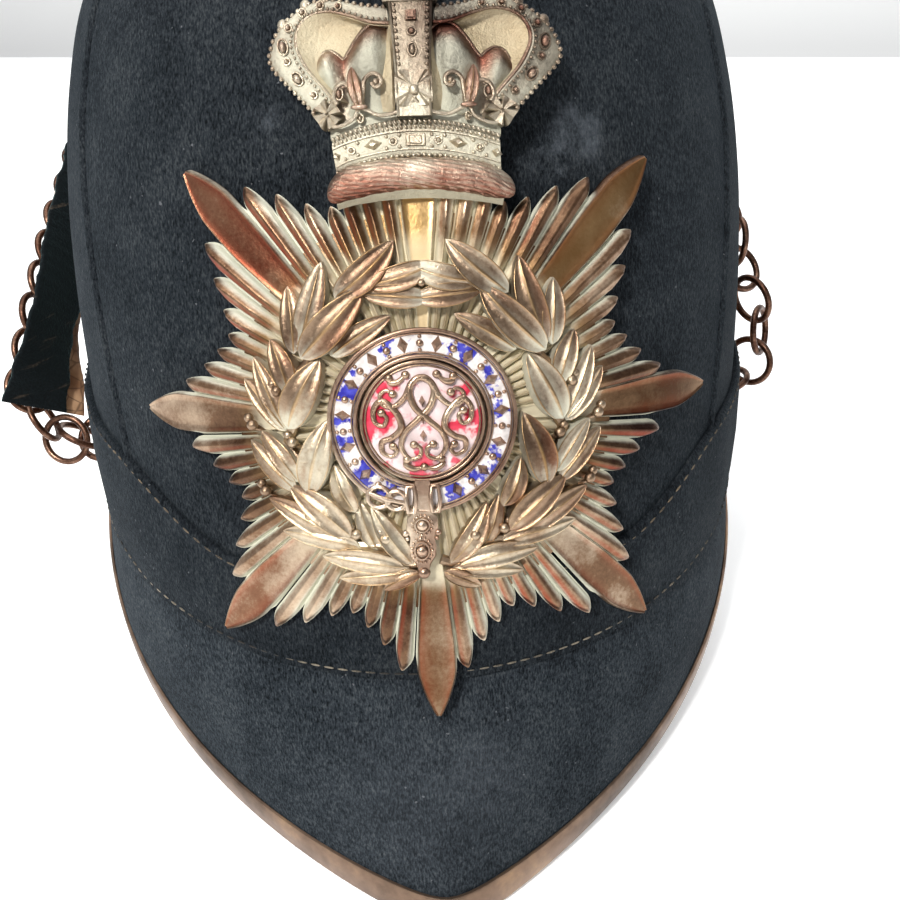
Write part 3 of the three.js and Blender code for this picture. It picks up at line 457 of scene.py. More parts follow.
def peak_normal(tip, swell, column, row):
    c = min(max(column, -0.985), 0.985)
    r = min(max(row, 0.03), 0.97)
    along = peak_point(tip, swell, c + 0.01, r) - peak_point(tip, swell, c - 0.01, r)
    down = peak_point(tip, swell, c, r + 0.02) - peak_point(tip, swell, c, r - 0.02)
    normal = along.cross(down).normalized()
    outwards = peak_point(tip, swell, c, r) - AXIS - UP * (BAND_FOOT - 60)
    return normal if normal.dot(outwards) > 0 else -normal


def peak_column(step, steps):
    c = 2 * step / steps - 1
    return 0.5 * c + 0.5 * math.sin(c * math.pi / 2)


# The peaks' cloth is tinted lighter than the dome's, painted light on their forward, upturned faces.
lit_peak_cloth = cloth_finish("lit_peak_cloth", srgb(37, 42, 47))
# The broad patch over the middle of the front peak is a painted pool of light; the two small strong patches on its left
# are dust.
add_dust_and_light(lit_peak_cloth, ((2, -128, 22), 30, 0.05), ((-75, -78, 30), 4, 0.35), ((-70, -88, 26), 4, 0.35),
         ((12, -132, 30), 12, 0.05))
PEAK_STEPS, PEAK_ROWS = 160, 14
PEAKS = (("front", FRONT_TIP, 1.8), ("back", BACK_TIP, 1.5))
for name, tip, swell in PEAKS:
    loop = [(row / PEAK_ROWS, 0) for row in range(PEAK_ROWS + 1)]
    loop += [(row / PEAK_ROWS, PEAK_WALL) for row in range(PEAK_ROWS, -1, -1)]

    def peak_place(i, j):
        row, depth = loop[i % len(loop)]
        column = peak_column(j, PEAK_STEPS)
        wave = 0.25 * math.sin(column * 13 + row * 4) * (1 - column ** 2) * row * (1 - row) * 4
        normal = peak_normal(tip, swell, column, row)
        return peak_point(tip, swell, column, row) + normal * (wave - depth)
    bm = bmesh.new()
    skin(bm, len(loop), PEAK_STEPS, peak_place, cap=True)
    new_piece(name + "_lit_peak_cloth", bm, lit_peak_cloth, "blue_cloth", name + "_peak")

# The bindings: a brass channel closed over the front peak's edge, dulled brown by handling,
# and a folded strip of black patent leather sewn over the back peak's edge.
CHANNEL = ((-6.0, 0.1), (-5.95, 0.55), (-5.6, 0.72), (-3.0, 0.74), (0, 0.66), (0.65, 0.4), (0.98, -0.2), (1.05, -1.1),
           (0.98, -2.0), (0.65, -2.6), (0, -2.8), (-3.5, -2.8), (-4.15, -2.7), (-4.2, -2.2))


def bronze_finish(name, dark, body, bright, roughness=0.36, scale=1.0, dirt=0.5):
    """Old brass and bronze: brown tarnish over the metal, cloudy, rubbed brighter in places and finely scratched."""
    bronze = Finish(name, Metallic=1.0)
    fine = bronze.noise(900.0 * scale, 4.0, 0.7)
    both = bronze.maths("MULTIPLY_ADD", fine, dirt, bronze.noise(90.0 * scale, 5.0, 0.6))
    tarnish = bronze.ranged(both, 0.45, 0.45 + 0.6 * dirt + 0.25)
    bronze.coat(bronze.ramp(tarnish, (0.05, dark), (0.5, body), (0.95, bright)), fine, 0.25, 0.0001)
    bronze.feed("Roughness", bronze.ranged(tarnish, 0.0, 1.0, roughness + 0.14, roughness - 0.08))
    return bronze


rim_metal = bronze_finish("rim_metal", srgb(84, 70, 60), srgb(126, 104, 88), srgb(168, 138, 104), 0.4, 0.35, 0.2)
patent = Finish("patent_leather", Roughness=0.32, Coat_Weight=0.4, Coat_Roughness=0.2)
cracks = patent.edges(520.0)
patent.coat(patent.ramp(cracks, (0.0, srgb(44, 38, 34)), (0.08, srgb(14, 13, 14))), cracks, 0.2, 0.0002)
for (name, tip, swell), finish, slot in zip(PEAKS, (rim_metal, patent), ("binding_metal", "black_leather")):
    stations = []
    for step in range(PEAK_STEPS + 1):
        column = peak_column(step, PEAK_STEPS)
        normal = peak_normal(tip, swell, column, 1)
        rim = peak_point(tip, swell, column, 1)
        ahead = (peak_point(tip, swell, min(column + 0.004, 1), 1)
                 - peak_point(tip, swell, max(column - 0.004, -1), 1))
        side = ahead.cross(normal).normalized()
        if side.dot(rim - peak_point(tip, swell, column, 0.9)) < 0:
            side = -side
        stations.append((rim, side, normal))
    bm = bmesh.new()
    sweep(bm, stations, CHANNEL)
    for vert in bm.verts:
        vert.co.z = max(vert.co.z, 0)
    new_piece(name + "_binding_edge", bm, finish, slot, name + "_binding")

# The plate is struck and cast brass, bent to the helmet's front. Its pieces are laid out flat,
# u to the right, v up and w outwards from the plate's face, and then bent into place together.
PLATE_PLACE = Vector((-0.2, -114.3, 95.6))
PLATE_LEAN = math.radians(15)
PLATE_BEND = dict(left=70, right=77, above=238, below=2000)
plate_turn = Matrix.Rotation(math.radians(-0.7), 3, "Z")
PLATE_OUT = plate_turn @ Vector((0, -math.cos(PLATE_LEAN), math.sin(PLATE_LEAN)))
plate_roll = Matrix.Rotation(math.radians(-0.2), 3, PLATE_OUT)
PLATE_UP = plate_roll @ plate_turn @ Vector((0, math.sin(PLATE_LEAN), math.cos(PLATE_LEAN)))
PLATE_RIGHT = plate_roll @ plate_turn @ Vector((1, 0, 0))


def plate_point(u, v, w):
    bend = PLATE_BEND["left" if u < 0 else "right"]
    rise = PLATE_BEND["above" if v > 0 else "below"]
    angle = u / bend
    sink = w - (bend + w) * (1 - math.cos(angle)) - v * v / (2 * rise)
    return AXIS + PLATE_PLACE + PLATE_RIGHT * (bend + w) * math.sin(angle) + PLATE_UP * v + PLATE_OUT * sink


def plate_piece(name, bm, finish, slot, *nodes, sharp=40):
    for vert in bm.verts:
        vert.co = plate_point(*vert.co)
    return new_piece(name, bm, finish, slot, *nodes, sharp=sharp)


def relief_mesh():
    """An empty mesh whose points also say how much patina and gilding lies there and how red the metal is; on some
    pieces these also carry painted reflection and painted shade.
    """
    bm = bmesh.new()
    return bm, *(bm.verts.layers.float.new(name) for name in ("patina", "copper", "gilding"))


GILT = srgb(226, 184, 112)


def struck_finish(name, dark, body, bright, red, pale, roughness=0.34, verdigris=0.75, grain=0.00012):
    """Struck brass with its gilding worn: brown ridges, copper showing through, pale verdigris in every groove; the
    patina and copper it reads also carry painted reflection and painted shade on some pieces.
    """
    brass = Finish(name)
    patina, copper, gilding = (brass.node("Attribute", output="Fac", attribute_name=layer)
                               for layer in ("patina", "copper", "gilding"))
    fine = brass.noise(1500.0, 4.0, 0.7)
    mottle = brass.maths("MULTIPLY_ADD", fine, 0.22, brass.noise(50.0, 5.0, 0.6))
    metal = brass.ramp(mottle, (0.42, srgb(*dark)), (0.61, srgb(*body)), (0.80, srgb(*bright)))
    rubbed = brass.maths("MULTIPLY_ADD", mottle, -0.8, copper)
    metal = brass.blend(brass.maths("ADD", rubbed, 0.1, clamp=True), metal, srgb(*red))
    crust = brass.ranged(brass.maths("ADD", patina, mottle), 0.86, 1.56, 0.0, verdigris, "SMOOTHSTEP")
    metal = brass.blend(crust, metal, srgb(*pale))
    brass.coat(brass.blend(gilding, metal, GILT), fine, 0.5, grain)
    brass.feed("Metallic", brass.ranged(crust, 0.0, 1.0, 1.0, 0.35))
    rough = brass.maths("MULTIPLY_ADD", fine, 0.16, roughness - 0.06)
    brass.feed("Roughness", brass.maths("MULTIPLY_ADD", crust, 0.42, rough))
    return brass


star_metal = struck_finish("star_metal", (58, 36, 26), (118, 91, 70), (184, 162, 138), (150, 62, 42), (206, 207, 190),
                           verdigris=0.85)

# The star: one struck sheet with eight flat polished lances, and between them 56 narrow ridged
# rays that end in rounded points, divided by grooves. It stands on studs through the cloth.
STAR_SHEET = 0.9
STAR_INNER = 12
# The haze and redness of each lance are partly its own tarnish and partly a painted reflection that changes with the
# lance's direction.
LANCES = (  # angle, tip, the next ray's tip, and how hazed, how red and how gilded the face is
    (1.1, 57.4, 45.3, 0.05, 0.3, 0.04), (45.2, 58.2, 47.7, 0.1, 0.4, 0.18), (90, 46, 45.3, 0.1, 0, 0.5),
    (135, 58, 47.7, -0.2, 0.55, 0), (179.55, 56.1, 45.3, 0.02, 0.2, 0), (224.6, 56.5, 47.7, 0.2, 0.5, 0),
    (270.35, 53.9, 45.3, 0.38, 0.38, 0.04), (315.9, 58.2, 47.7, 0.28, 0.35, 0))
RAY_TIPS = (45.3, 41, 38.5, 36.9, 39.2, 43.2, 47.7)  # from a level or upright lance to a slanting one
RAY_PROFILE = ((1, -0.5, 1), (0.9, -0.5, 1), (0.8, -0.12, 0.72), (0.7, 0.24, 0.42), (0.46, 0.46, 0.12),
               (0.22, 0.70, 0.05), (0.07, 0.86, 0))  # share of half width, height, patina
LANCE_COLUMNS, LANCE_ROWS = 28, 34
RAY_NOTCH = 3.2
RAY_ROWS = 20
# Ray flanks facing this way are painted red, and flanks facing away are painted pale: painted reflections of the
# surroundings.
PAINTED_REFLECTION_SIDE = Vector((-0.75, -0.66))
ray_random = random.Random(7)
bm, patina_and_painted_light_layer, copper_and_painted_light_layer, gilding_layer = relief_mesh()


def polar(radius, angle, w=0.0):
    """A point at a radius and an angle round the origin, at the height w."""
    return Vector((radius * math.cos(angle), radius * math.sin(angle), w))


def marked_skin(bm, columns, rows, place, missing):
    """A closed skin whose place() also says the patina, copper and gilding of each point, painted reflection and shade
    included.
    """
    marks = {}

    def put(column, row):
        point, *values = place(column, row)
        marks[tuple(round(c, 3) for c in point)] = values
        return point
    for vert in skin(bm, columns, rows, put, cap=True):
        vert[patina_and_painted_light_layer], vert[copper_and_painted_light_layer], vert[gilding_layer] = marks.get(
            tuple(round(c, 3) for c in vert.co), missing)


def mirrored(profile):
    """A profile from edge to middle, continued to the other edge, its first value changing sign."""
    return [(-x, *values) for x, *values in profile] + list(reversed(profile))


def small_ray(angle, tip, valley_low, valley_high):
    """One ridged ray; its valleys are where its outline meets its neighbours' on either side."""
    half = math.radians(2.5)
    across = mirrored(RAY_PROFILE)
    loop = [(x, w, p, True) for x, w, p in across] + [(x, 0, 0.6, False) for x, _, _ in reversed(across)]
    lean = ray_random.uniform(-0.15, 0.15)
    tone = ray_random.uniform(-0.12, 0.12)

    def place(column, row):
        x, height, patina, face = loop[column % len(loop)]
        valley = valley_high if x > 0 else valley_low
        reach = valley + (tip - valley) * (1 - abs(x) ** 1.3) ** 0.62
        share = 1 - (1 - row / RAY_ROWS) ** 1.5
        r = STAR_INNER + (reach - STAR_INNER) * share
        fade = smooth_step(reach - r, 0, 1.1 + 0.8 * (1 - abs(x)))
        w = -0.5 + (height + 0.5) * fade if face else -STAR_SHEET
        # The flank's colour follows its direction: flanks facing down and left are painted red, those facing up and
        # right pale, a painted reflection.
        flank = Vector((-math.sin(angle), math.cos(angle))) * math.copysign(min(abs(x) * 2.5, 1), x)
        facing = flank.dot(PAINTED_REFLECTION_SIDE)
        edge = 0.4 * (1 - smooth_step(reach - r, 0.1, 0.5))
        return (polar(r, angle + half * (x + lean * (1 - x * x) * 0.3), w),
                min(1, patina + edge + max(-facing, 0) * 0.42 + tone),
                max(facing, 0) * 0.95 * (1 - patina) + tone, 0)
    marked_skin(bm, len(loop), RAY_ROWS, place, (0.5, 0, 0))


def lance(degrees, tip, neighbour, haze, red, gilt):
    """One flat lance with a raised thin edge, a pale bevel beside it, and its point standing free; the bevel facing
    down and left is painted less pale than the other, a painted reflection.
    """
    angle = math.radians(degrees)
    valley = neighbour - 2.4

    def place(column, row):
        share = 1 - (1 - row / LANCE_ROWS) ** 1.25
        r = STAR_INNER + (tip - STAR_INNER) * share
        blade = 0.9 + 2.2 * smooth_step(r, 14, 44)
        turn = tip - 9.4
        if r > turn:
            blade *= (1 - ((r - turn) / (tip - turn)) ** 1.45) ** 0.9
        wedge = r * math.tan(math.radians(5))
        total = wedge + (blade + 0.42 - wedge) * smooth_step(r, valley - 1.2, valley + 0.2)
        if r < valley:
            blade = min(blade, total - 0.5)
        front = mirrored(((total, -0.5, 1, 0), (min(blade + 0.40, total), -0.45, 1, 0),
                          (blade + 0.22, 0.2, 0.75, 0.1), (blade + 0.02, 0.42, 0.3, 0.2),
                          (max(blade - 0.3, 0), 0.24, haze, red + 0.2), (blade * 0.6, 0.22, haze, red),
                          (blade * 0.2, 0.27, haze, red - 0.1)))
        back = [(s, -STAR_SHEET, 0.6, 0) for s, _, _, _ in reversed(front)]
        s, w, patina, copper = (front + back)[column % LANCE_COLUMNS]
        if row == LANCE_ROWS:
            s, w = 0, (-0.4 if w > -STAR_SHEET else w)
        free = smooth_step(r, valley - 0.5, valley + 3)
        # The bevel's paleness follows its direction: the bevel facing down and left keeps little of it, a painted
        # reflection.
        facing = Vector((-math.sin(angle), math.cos(angle))).dot(PAINTED_REFLECTION_SIDE) * math.copysign(1, s)
        bevel = abs(s) > blade
        if bevel:
            patina *= 1 - free * (0.35 if facing < 0 else 0.9)
        return polar(r, angle, w) + polar(s, angle + math.pi / 2), patina, copper, 0 if bevel else gilt
    marked_skin(bm, LANCE_COLUMNS, LANCE_ROWS, place, (0.5, 0, 0))


for sector in range(8):
    start = sector * 45
    tips = RAY_TIPS if sector % 2 == 0 else RAY_TIPS[::-1]
    for i, tip in enumerate(tips):
        low = min(tip, tips[i - 1]) if i else tip
        high = min(tip, tips[i + 1]) if i < 6 else tip
        small_ray(math.radians(start + 7.5 + 5 * i), tip, low - RAY_NOTCH, high - RAY_NOTCH)
for angle, *others in LANCES:
    lance(angle, *others)
WEB_RINGS, WEB_COLUMNS = 9, 96
web_loop = [(STAR_INNER + 1 + 2.5 * k, -0.45) for k in range(WEB_RINGS)]
web_loop += [(r, -0.95) for r, _ in reversed(web_loop)]


def web_place(column, row):
    """The thin sheet that joins the rays' roots."""
    r, w = web_loop[column % len(web_loop)]
    return polar(r, math.tau * (row % WEB_COLUMNS) / WEB_COLUMNS, w)


skin(bm, len(web_loop), WEB_COLUMNS, web_place)
bmesh.ops.create_cone(bm, segments=72, radius1=STAR_INNER + 2, radius2=STAR_INNER + 2, depth=0.5, cap_ends=True,
                      matrix=Matrix.Translation((0, 0, -0.7)))
for vert in bm.verts:
    from_middle = vert.co.xy.length
    sheltered = 1 - smooth_step(from_middle, 25, 34)
    under_crown = smooth_step(vert.co.y, 18, 30) * (1 - smooth_step(abs(vert.co.x), 4, 15))
    lowered = smooth_step(0.9 - vert.co.z, 0, 0.9)
    vert[patina_and_painted_light_layer] = max(vert[patina_and_painted_light_layer], (0.72 + 0.4 * lowered) * sheltered)
    vert[gilding_layer] = max(vert[gilding_layer], 0.22 * sheltered, 0.22 * under_crown * lowered)
    vert[copper_and_painted_light_layer] += 0.08 * (1 - sheltered)
plate_piece("star_of_rays", bm, star_metal, "plate_metal", "plate_star", sharp=35)

# The laurel wreath: cast leaves with raised midribs and bright edges on two curved stalks, with
# berries between them, and a small knot of leaves at its top. It is riveted to the star.
WREATH_LEAVES = (
    (4.0, 28.5, 13.5, 20.0, 2.5, 2.0), (9.0, 21.3, 19.3, 10.6, 2.75, 2.9), (4.9, 17.0, 14.6, 10.9, 1.9, 1.7),
    (15.4, 25.6, 19.5, 11.8, 2.35, 2.2), (21.2, 22.0, 20.6, 11.3, 2.1, 1.9), (16.4, 10.4, 22.2, -0.9, 2.75, 2.9),
    (24.7, 13.6, 21.8, 4.9, 2.0, 2.0), (28.0, 10.7, 22.8, -1.1, 1.9, 1.8), (30.1, 7.1, 22.9, -1.4, 1.8, 1.6),
    (15.6, 0.6, 19.4, -11.8, 2.6, 2.9), (15.2, -6.9, 12.0, -15.0, 1.9, 2.0), (29.7, -3.2, 21.9, -11.5, 2.0, 1.8),
    (27.5, -1.5, 21.2, -9.9, 1.9, 2.2), (22.9, -10.7, 12.8, -19.1, 2.5, 2.7), (27.1, -13.1, 14.3, -20.2, 2.2, 2.0),
    (25.0, -18.8, 11.4, -21.2, 2.0, 1.8), (9.4, -14.1, 3.1, -24.2, 1.9, 1.9), (11.5, -13.0, 8.7, -21.6, 1.6, 1.5),
    (18.2, -22.9, 4.4, -24.8, 2.1, 2.0), (15.6, -26.8, 3.1, -25.5, 1.8, 1.6), (8.1, -28.9, 1.9, -25.8, 1.5, 1.5),
)  # tip u and v, base u and v, half width, height over the star
LEAF_PROFILE = ((1, -0.1, 0.5), (0.975, 0.16, 0.1), (0.93, 0.18, 0.0), (0.86, -0.02, 0.3), (0.5, -0.2, 0.2),
                (0.15, -0.1, 0.36), (0.05, 0.16, 0.0), (0, 0.2, 0))  # share of half width, height, patina
BERRIES = ((28.7, -0.5), (21.7, -3.2), (27.2, -11.7), (12, -18.7), (23.8, 5.3), (11.4, 16.4), (19.6, -15.6),
           (7.2, -19.5))
LEAF_ROWS, STALK_STEPS = 16, 40
wreath_metal = struck_finish("wreath_metal", (88, 66, 52), (152, 129, 106), (208, 196, 172), (150, 92, 66),
                             (206, 206, 188), roughness=0.33, grain=0.0002)
leaf_random = random.Random(11)
bm, patina_and_painted_light_layer, copper_and_painted_light_layer, gilding_layer = relief_mesh()


def leaf(bm, tip, base, half, height, low=0.3, bend=0.0, rows=LEAF_ROWS):
    """A leaf with a raised midrib and rims round two hollow halves, closed underneath."""
    tip, base = Vector(tip), Vector(base)
    way = tip - base
    side = Vector((-way.y, way.x)).normalized()
    across = [(-x, w, p) for x, w, p in LEAF_PROFILE] + [(x, w, p) for x, w, p in reversed(LEAF_PROFILE[:-1])]
    loop = [(x, w, p, True) for x, w, p in across] + [(x, 0, 0.7, False) for x, _, _ in reversed(across)]
    tone = leaf_random.uniform(-0.15, 0.2)
    twist = leaf_random.uniform(-0.35, 0.35)

    def place(column, row):
        x, relief, patina, face = loop[column % len(loop)]
        t = row / rows
        wide = half * (t ** 0.55 * (1 - t) ** 0.72) / 0.419
        spot = base + way * t + side * (bend * 4 * t * (1 - t) + x * wide)
        centre = low + 0.5 + height * math.sin(math.pi * (0.18 + 0.72 * t)) ** 0.8
        top = centre + (relief - 0.16 * x * x + twist * x * 0.7) * min(wide / half, 1)
        # The half of each leaf towards the right is made redder and darker, a painted shade.
        return (Vector((*spot, top if face else low)), patina + tone + 0.35 * (1 - smooth_step(t, 0.05, 0.4)),
                0.3 - 0.5 * tone + 0.3 * x * side.x, 0.18 if relief > 0.1 else 0)
    marked_skin(bm, len(loop), rows, place, (0.4, 0.2, 0))


def tube(bm, points, radius, up=UP, segments=8, closed=False, squash=1.0):
    """A round rod through points, its radius a number or one for each point."""
    stations = []
    count = len(points)
    for i, point in enumerate(points):
        before = points[i - 1] if i or closed else point
        after = points[(i + 1) % count if closed else min(i + 1, count - 1)]
        along = (after - before).normalized()
        side = along.cross(up).normalized()
        thick = radius[i] if isinstance(radius, list) else radius
        stations.append((point, side * thick, side.cross(along).normalized() * thick * squash))
    return sweep(bm, stations, [polar(1, math.tau * k / segments).xy for k in range(segments)], closed)


def ball(bm, place, radius, flat=1.0, u=12, v=8):
    return stone(bm, place, (radius, radius, radius * flat), u=u, v=v)


for side in (1, -1):
    stalk = []
    for step in range(STALK_STEPS + 1):
        share = step / STALK_STEPS
        r = 22.2 + 1.0 * math.sin(step * 0.9)
        angle = math.radians(-86 + 138 * share)
        stalk.append(Vector((side * r * math.cos(angle), r * math.sin(angle) - 1.6 * (1 - share), 1.0)))
    tube(bm, stalk, 0.95)
    for tip_u, tip_v, base_u, base_v, half, height in WREATH_LEAVES:
        outer = 1 if math.hypot(tip_u, tip_v) > math.hypot(base_u, base_v) + 1 else -1
        leaf(bm, (side * tip_u, tip_v), (side * base_u, base_v), half, height,
             bend=side * outer * leaf_random.uniform(0.1, 0.8))
    for berry_u, berry_v in BERRIES:
        for k in range(2):
            spot = Vector((side * (berry_u + 0.9 * k), berry_v + 1.1 * k, 2.2 - 0.5 * k))
            ball(bm, spot, 0.95 - 0.12 * k)
            stem = [Vector((side * berry_u * 0.95, berry_v - 1.2, 0.8)), spot + Vector((0, -0.6, -0.4))]
            tube(bm, stem, 0.28, segments=6)
for u_tip, v_tip, u_base, v_base, half in ((9.3, 21.8, -1.4, 24.6, 2.1), (9.4, 20.5, -1.2, 19.6, 1.9)):
    for side in (1, -1):
        leaf(bm, (side * u_tip, v_tip), (side * u_base, v_base), half, 2.1, bend=-0.5 * side if v_base > 22 else 0)
ball(bm, (0, 22.0, 2.9), 0.6, 0.9)
for vert in bm.verts:
    vert[patina_and_painted_light_layer] += 0.12 - 0.5 * smooth_step(-vert.co.y, 8, 18)
    vert[copper_and_painted_light_layer] += 0.15 * smooth_step(-vert.co.y, 8, 18)
plate_piece("laurel_wreath", bm, wreath_metal, "plate_metal", "plate_wreath", sharp=45)

# The belt: a ring of brass, its field once filled with blue enamel that has chipped to its white
# ground, inside raised rims; plain lozenges and pellets stand on it all round.
BELT_MIDDLE = Vector((-0.6, 0))
BELT_FACE = 2.0


def enamel_finish(name, colour, deep, white, scale):
    """Old enamel: glassy colour where it is left, and a chalky stained ground where it has chipped."""
    enamel = Finish(name, Coat_Weight=0.3, Coat_Roughness=0.12)
    wear = enamel.node("Attribute", output="Fac", attribute_name="patina")
    edge = enamel.maths("ADD", enamel.noise(scale, 3.0, 0.6), wear)
    left = enamel.ranged(edge, 0.97, 1.05, 1.0, 0.0)
    glass = enamel.ramp(enamel.noise(scale * 2.2), (0.35, deep), (0.62, colour))
    ground = enamel.ramp(enamel.noise(scale * 1.6, 4.0), (0.3, shaded(white, 0.62, 0.62, 0.62)), (0.6, white))
    enamel.coat(enamel.blend(left, ground, glass), left, 0.5, 0.00015)
    enamel.feed("Roughness", enamel.ranged(left, 0.0, 1.0, 0.6, 0.14))
    return enamel


def ring_of(bm, outline, columns=120):
    """A closed ring round the belt's middle, its outline given as (radius, height)."""
    def place(i, j):
        r, w = outline[i % len(outline)]
        return BELT_MIDDLE.to_3d() + polar(r, math.tau * (j % columns) / columns, w)
    return skin(bm, len(outline), columns, place)


def wire_ring(bm, radius, thick, height, columns):
    """A round wire laid in a ring round the belt's middle."""
    ring_of(bm, [polar(thick, math.tau * k / 8).xy + Vector((radius, height)) for k in range(8)], columns)


def hump(value, middle, spread):
    """A smooth hump of height 1 over middle."""
    return math.exp(-((value - middle) / spread) ** 2)


def nearness(vert, places):
    """How much a point lies in any of the places, each an angle, its spread and its strength."""
    flat = vert.co.xy - BELT_MIDDLE
    angle = math.degrees(math.atan2(flat.y, flat.x)) % 360
    return max(share * hump((angle - place + 180) % 360 - 180, 0, spread) for place, spread, share in places)


blue_enamel = enamel_finish("blue_enamel", srgb(72, 74, 172), srgb(42, 40, 138), srgb(220, 212, 208), 420.0)
bm, patina_and_painted_light_layer, copper_and_painted_light_layer, gilding_layer = relief_mesh()
BLUE_PLACES = ((155, 9, 1), (140, 7, 0.5), (220, 10, 1), (111, 7, 0.55), (90, 6, 0.5), (53, 10, 0.8), (69, 6, 0.5),
               (31, 7, 0.55), (9, 6, 0.4), (328, 9, 0.6), (310, 8, 0.7), (291, 8, 1), (198, 7, 0.45), (178, 6, 0.45),
               (245, 8, 0.6))  # angle, spread and how much is left
BELT_OUTLINE = ((10.7, 0.9), (10.7, BELT_FACE - 0.1), (11.4, BELT_FACE), (12.7, BELT_FACE + 0.05),
                (14.0, BELT_FACE), (14.7, BELT_FACE - 0.1), (14.7, 0.9))
for vert in ring_of(bm, BELT_OUTLINE):
    vert[patina_and_painted_light_layer] = 0.66 - 0.27 * nearness(vert, BLUE_PLACES)
plate_piece("belt_enamel", bm, blue_enamel, "blue_enamel", "garter_belt")

belt_metal = struck_finish("belt_metal", (104, 82, 68), (164, 136, 116), (214, 196, 174), (160, 88, 62),
                           (206, 198, 178), roughness=0.3, verdigris=0.65)
bm, patina_and_painted_light_layer, copper_and_painted_light_layer, gilding_layer = relief_mesh()
for r, thick, height in ((10.6, 0.34, 2.15), (11.2, 0.15, 2.1), (14.75, 0.38, 2.2), (14.15, 0.15, 2.1)):
    wire_ring(bm, r, thick, height, 160)
for vert in bm.verts:
    vert[copper_and_painted_light_layer] = 0.35
STUDS, STUD_GAP = 30, (268, 16)  # how many all round, and the angle and half width of the gap at the buckle


def raise_face(bm, base, centre, shrink, height):
    """The corners of a face raised to a height from the base's corners, and drawn in towards a centre."""
    top = bmesh.ops.extrude_face_region(bm, geom=[base[0].link_faces[0]])["geom"]
    raised = [part for part in top if isinstance(part, bmesh.types.BMVert)]
    for vert in raised:
        vert.co = Vector((*centre.lerp(vert.co.xy, shrink), height))
    return raised


def pyramid(bm, centre, along, long, wide, low, high):
    """A four-sided raised lozenge with its long way along a direction."""
    side = Vector((-along.y, along.x))
    base = bmesh.ops.create_circle(bm, segments=4, radius=1, cap_ends=True)["verts"]
    for vert in base:
        vert.co = Vector((*(centre + along * vert.co.x * long / 2 + side * vert.co.y * wide / 2), low))
    raise_face(bm, base, centre, 0.3, high)


for k in range(STUDS):
    angle = math.tau * (k + 0.5) / STUDS
    if abs((math.degrees(angle) - STUD_GAP[0] + 180) % 360 - 180) < STUD_GAP[1]:
        continue
    out = polar(1, angle).xy
    middle = BELT_MIDDLE + out * 12.65
    if k % 2:
        ball(bm, (*middle, BELT_FACE + 0.12), 0.6, 0.8)
        for aside in (-1.05, 1.05):
            ball(bm, (*(middle + out * aside), BELT_FACE + 0.05), 0.34, 0.8, 8, 6)
    else:
        pyramid(bm, middle, out, 3.5, 2.3, BELT_FACE - 0.3, BELT_FACE + 0.7)

# The belt's buckle is two small rings with a bar, and its end hangs through it between two
# loops: a beaded boss, a pair of drops, an oval boss and a ball, all cast with the belt.
def plate_circle(centre, radius, height, count=20, stretch=1.0):
    return [Vector((centre[0] + radius * math.cos(math.tau * k / count),
                    centre[1] + radius * stretch * math.sin(math.tau * k / count), height)) for k in range(count)]


for centre, radius in (((-7.9, -12.1), 1.75), ((-5.2, -12.7), 1.55)):
    tube(bm, plate_circle(centre, radius, 2.9), 0.42, closed=True)
tube(bm, [Vector((-9.4, -11.4, 3.0)), Vector((-6.6, -12.4, 3.4)), Vector((-3.6, -13.2, 3.0))], 0.36)
for u in (-2.9, 0.9):
    half_loop = ((0.55, -10.6, 2.6), (0.75, -12.6, 3.2), (0.5, -14.8, 3.2))
    tube(bm, [Vector((u - x, v, w)) for x, v, w in half_loop] + [Vector((u + x, v, w)) for x, v, w in half_loop[::-1]],
         0.36, closed=True)
strap_end = ((-9.6, 1.35), (-12, 1.5), (-15.2, 1.7), (-16, 2.4), (-18, 2.55), (-19.4, 1.9), (-21, 2.2), (-22.6, 2.1),
             (-24, 1.25), (-25.2, 0.9), (-26.6, 0.2))
stations = [(Vector((-1.0 - 0.35 * min((-v - 9.6) / 9, 1), v, 1.6)), Vector((half, 0, 0)), UP) for v, half in strap_end]
sweep(bm, stations, ((-1, -0.7), (-1, 0.75), (-0.85, 1.0), (-0.4, 0.9), (0.4, 0.9), (0.85, 1.0), (1, 0.75), (1, -0.7)))
BEADS = 15
for centre, radius, stretch in (((-1.3, -17.2), 1.15, 1.0), ((-1.5, -21.6), 1.15, 1.3)):
    ball(bm, (*centre, 2.7), radius * 0.8, 0.75, 16, 10)
    tube(bm, plate_circle(centre, radius, 2.7, 20, stretch), 0.22, closed=True, segments=6)
    for place in plate_circle(centre, 1.65, 2.6, BEADS, stretch):
        ball(bm, place, 0.28, 1, 8, 6)
for side in (-1, 1):
    ball(bm, (-1.4 + side * 2.6, -18.6, 2.3), 0.6, 0.8)
    ball(bm, (-1.4 + side * 2.35, -19.6, 2.2), 0.42, 0.8, 8, 6)
ball(bm, (-1.3, -25.6, 2.2), 1.05, 0.9, 16, 10)
for vert in bm.verts:
    if vert.co.y < -10:
        vert[patina_and_painted_light_layer] = 0.62 - 0.5 * smooth_step(vert.co.z, 1.8, 2.9)
        vert[copper_and_painted_light_layer] = 0.2
plate_piece("belt_rims_and_end", bm, belt_metal, "plate_metal", sharp=45)

# The centre: a slightly domed disc of worn red and white enamel in a double rim, with symmetric
# scrollwork of flat and beaded wires laid over it.
DISC_RADIUS = 9.6
red_enamel = enamel_finish("red_enamel", srgb(216, 70, 90), srgb(182, 28, 54), srgb(226, 204, 202), 260.0)
bm, patina_and_painted_light_layer, copper_and_painted_light_layer, gilding_layer = relief_mesh()
DISC_COLUMNS, DISC_ROWS = 96, 12


def disc_place(i, j):
    r = DISC_RADIUS * (1 - j / DISC_ROWS)
    return BELT_MIDDLE.to_3d() + polar(r, math.tau * (i % DISC_COLUMNS) / DISC_COLUMNS,
                                       1.5 + 0.6 * (1 - (r / DISC_RADIUS) ** 2))


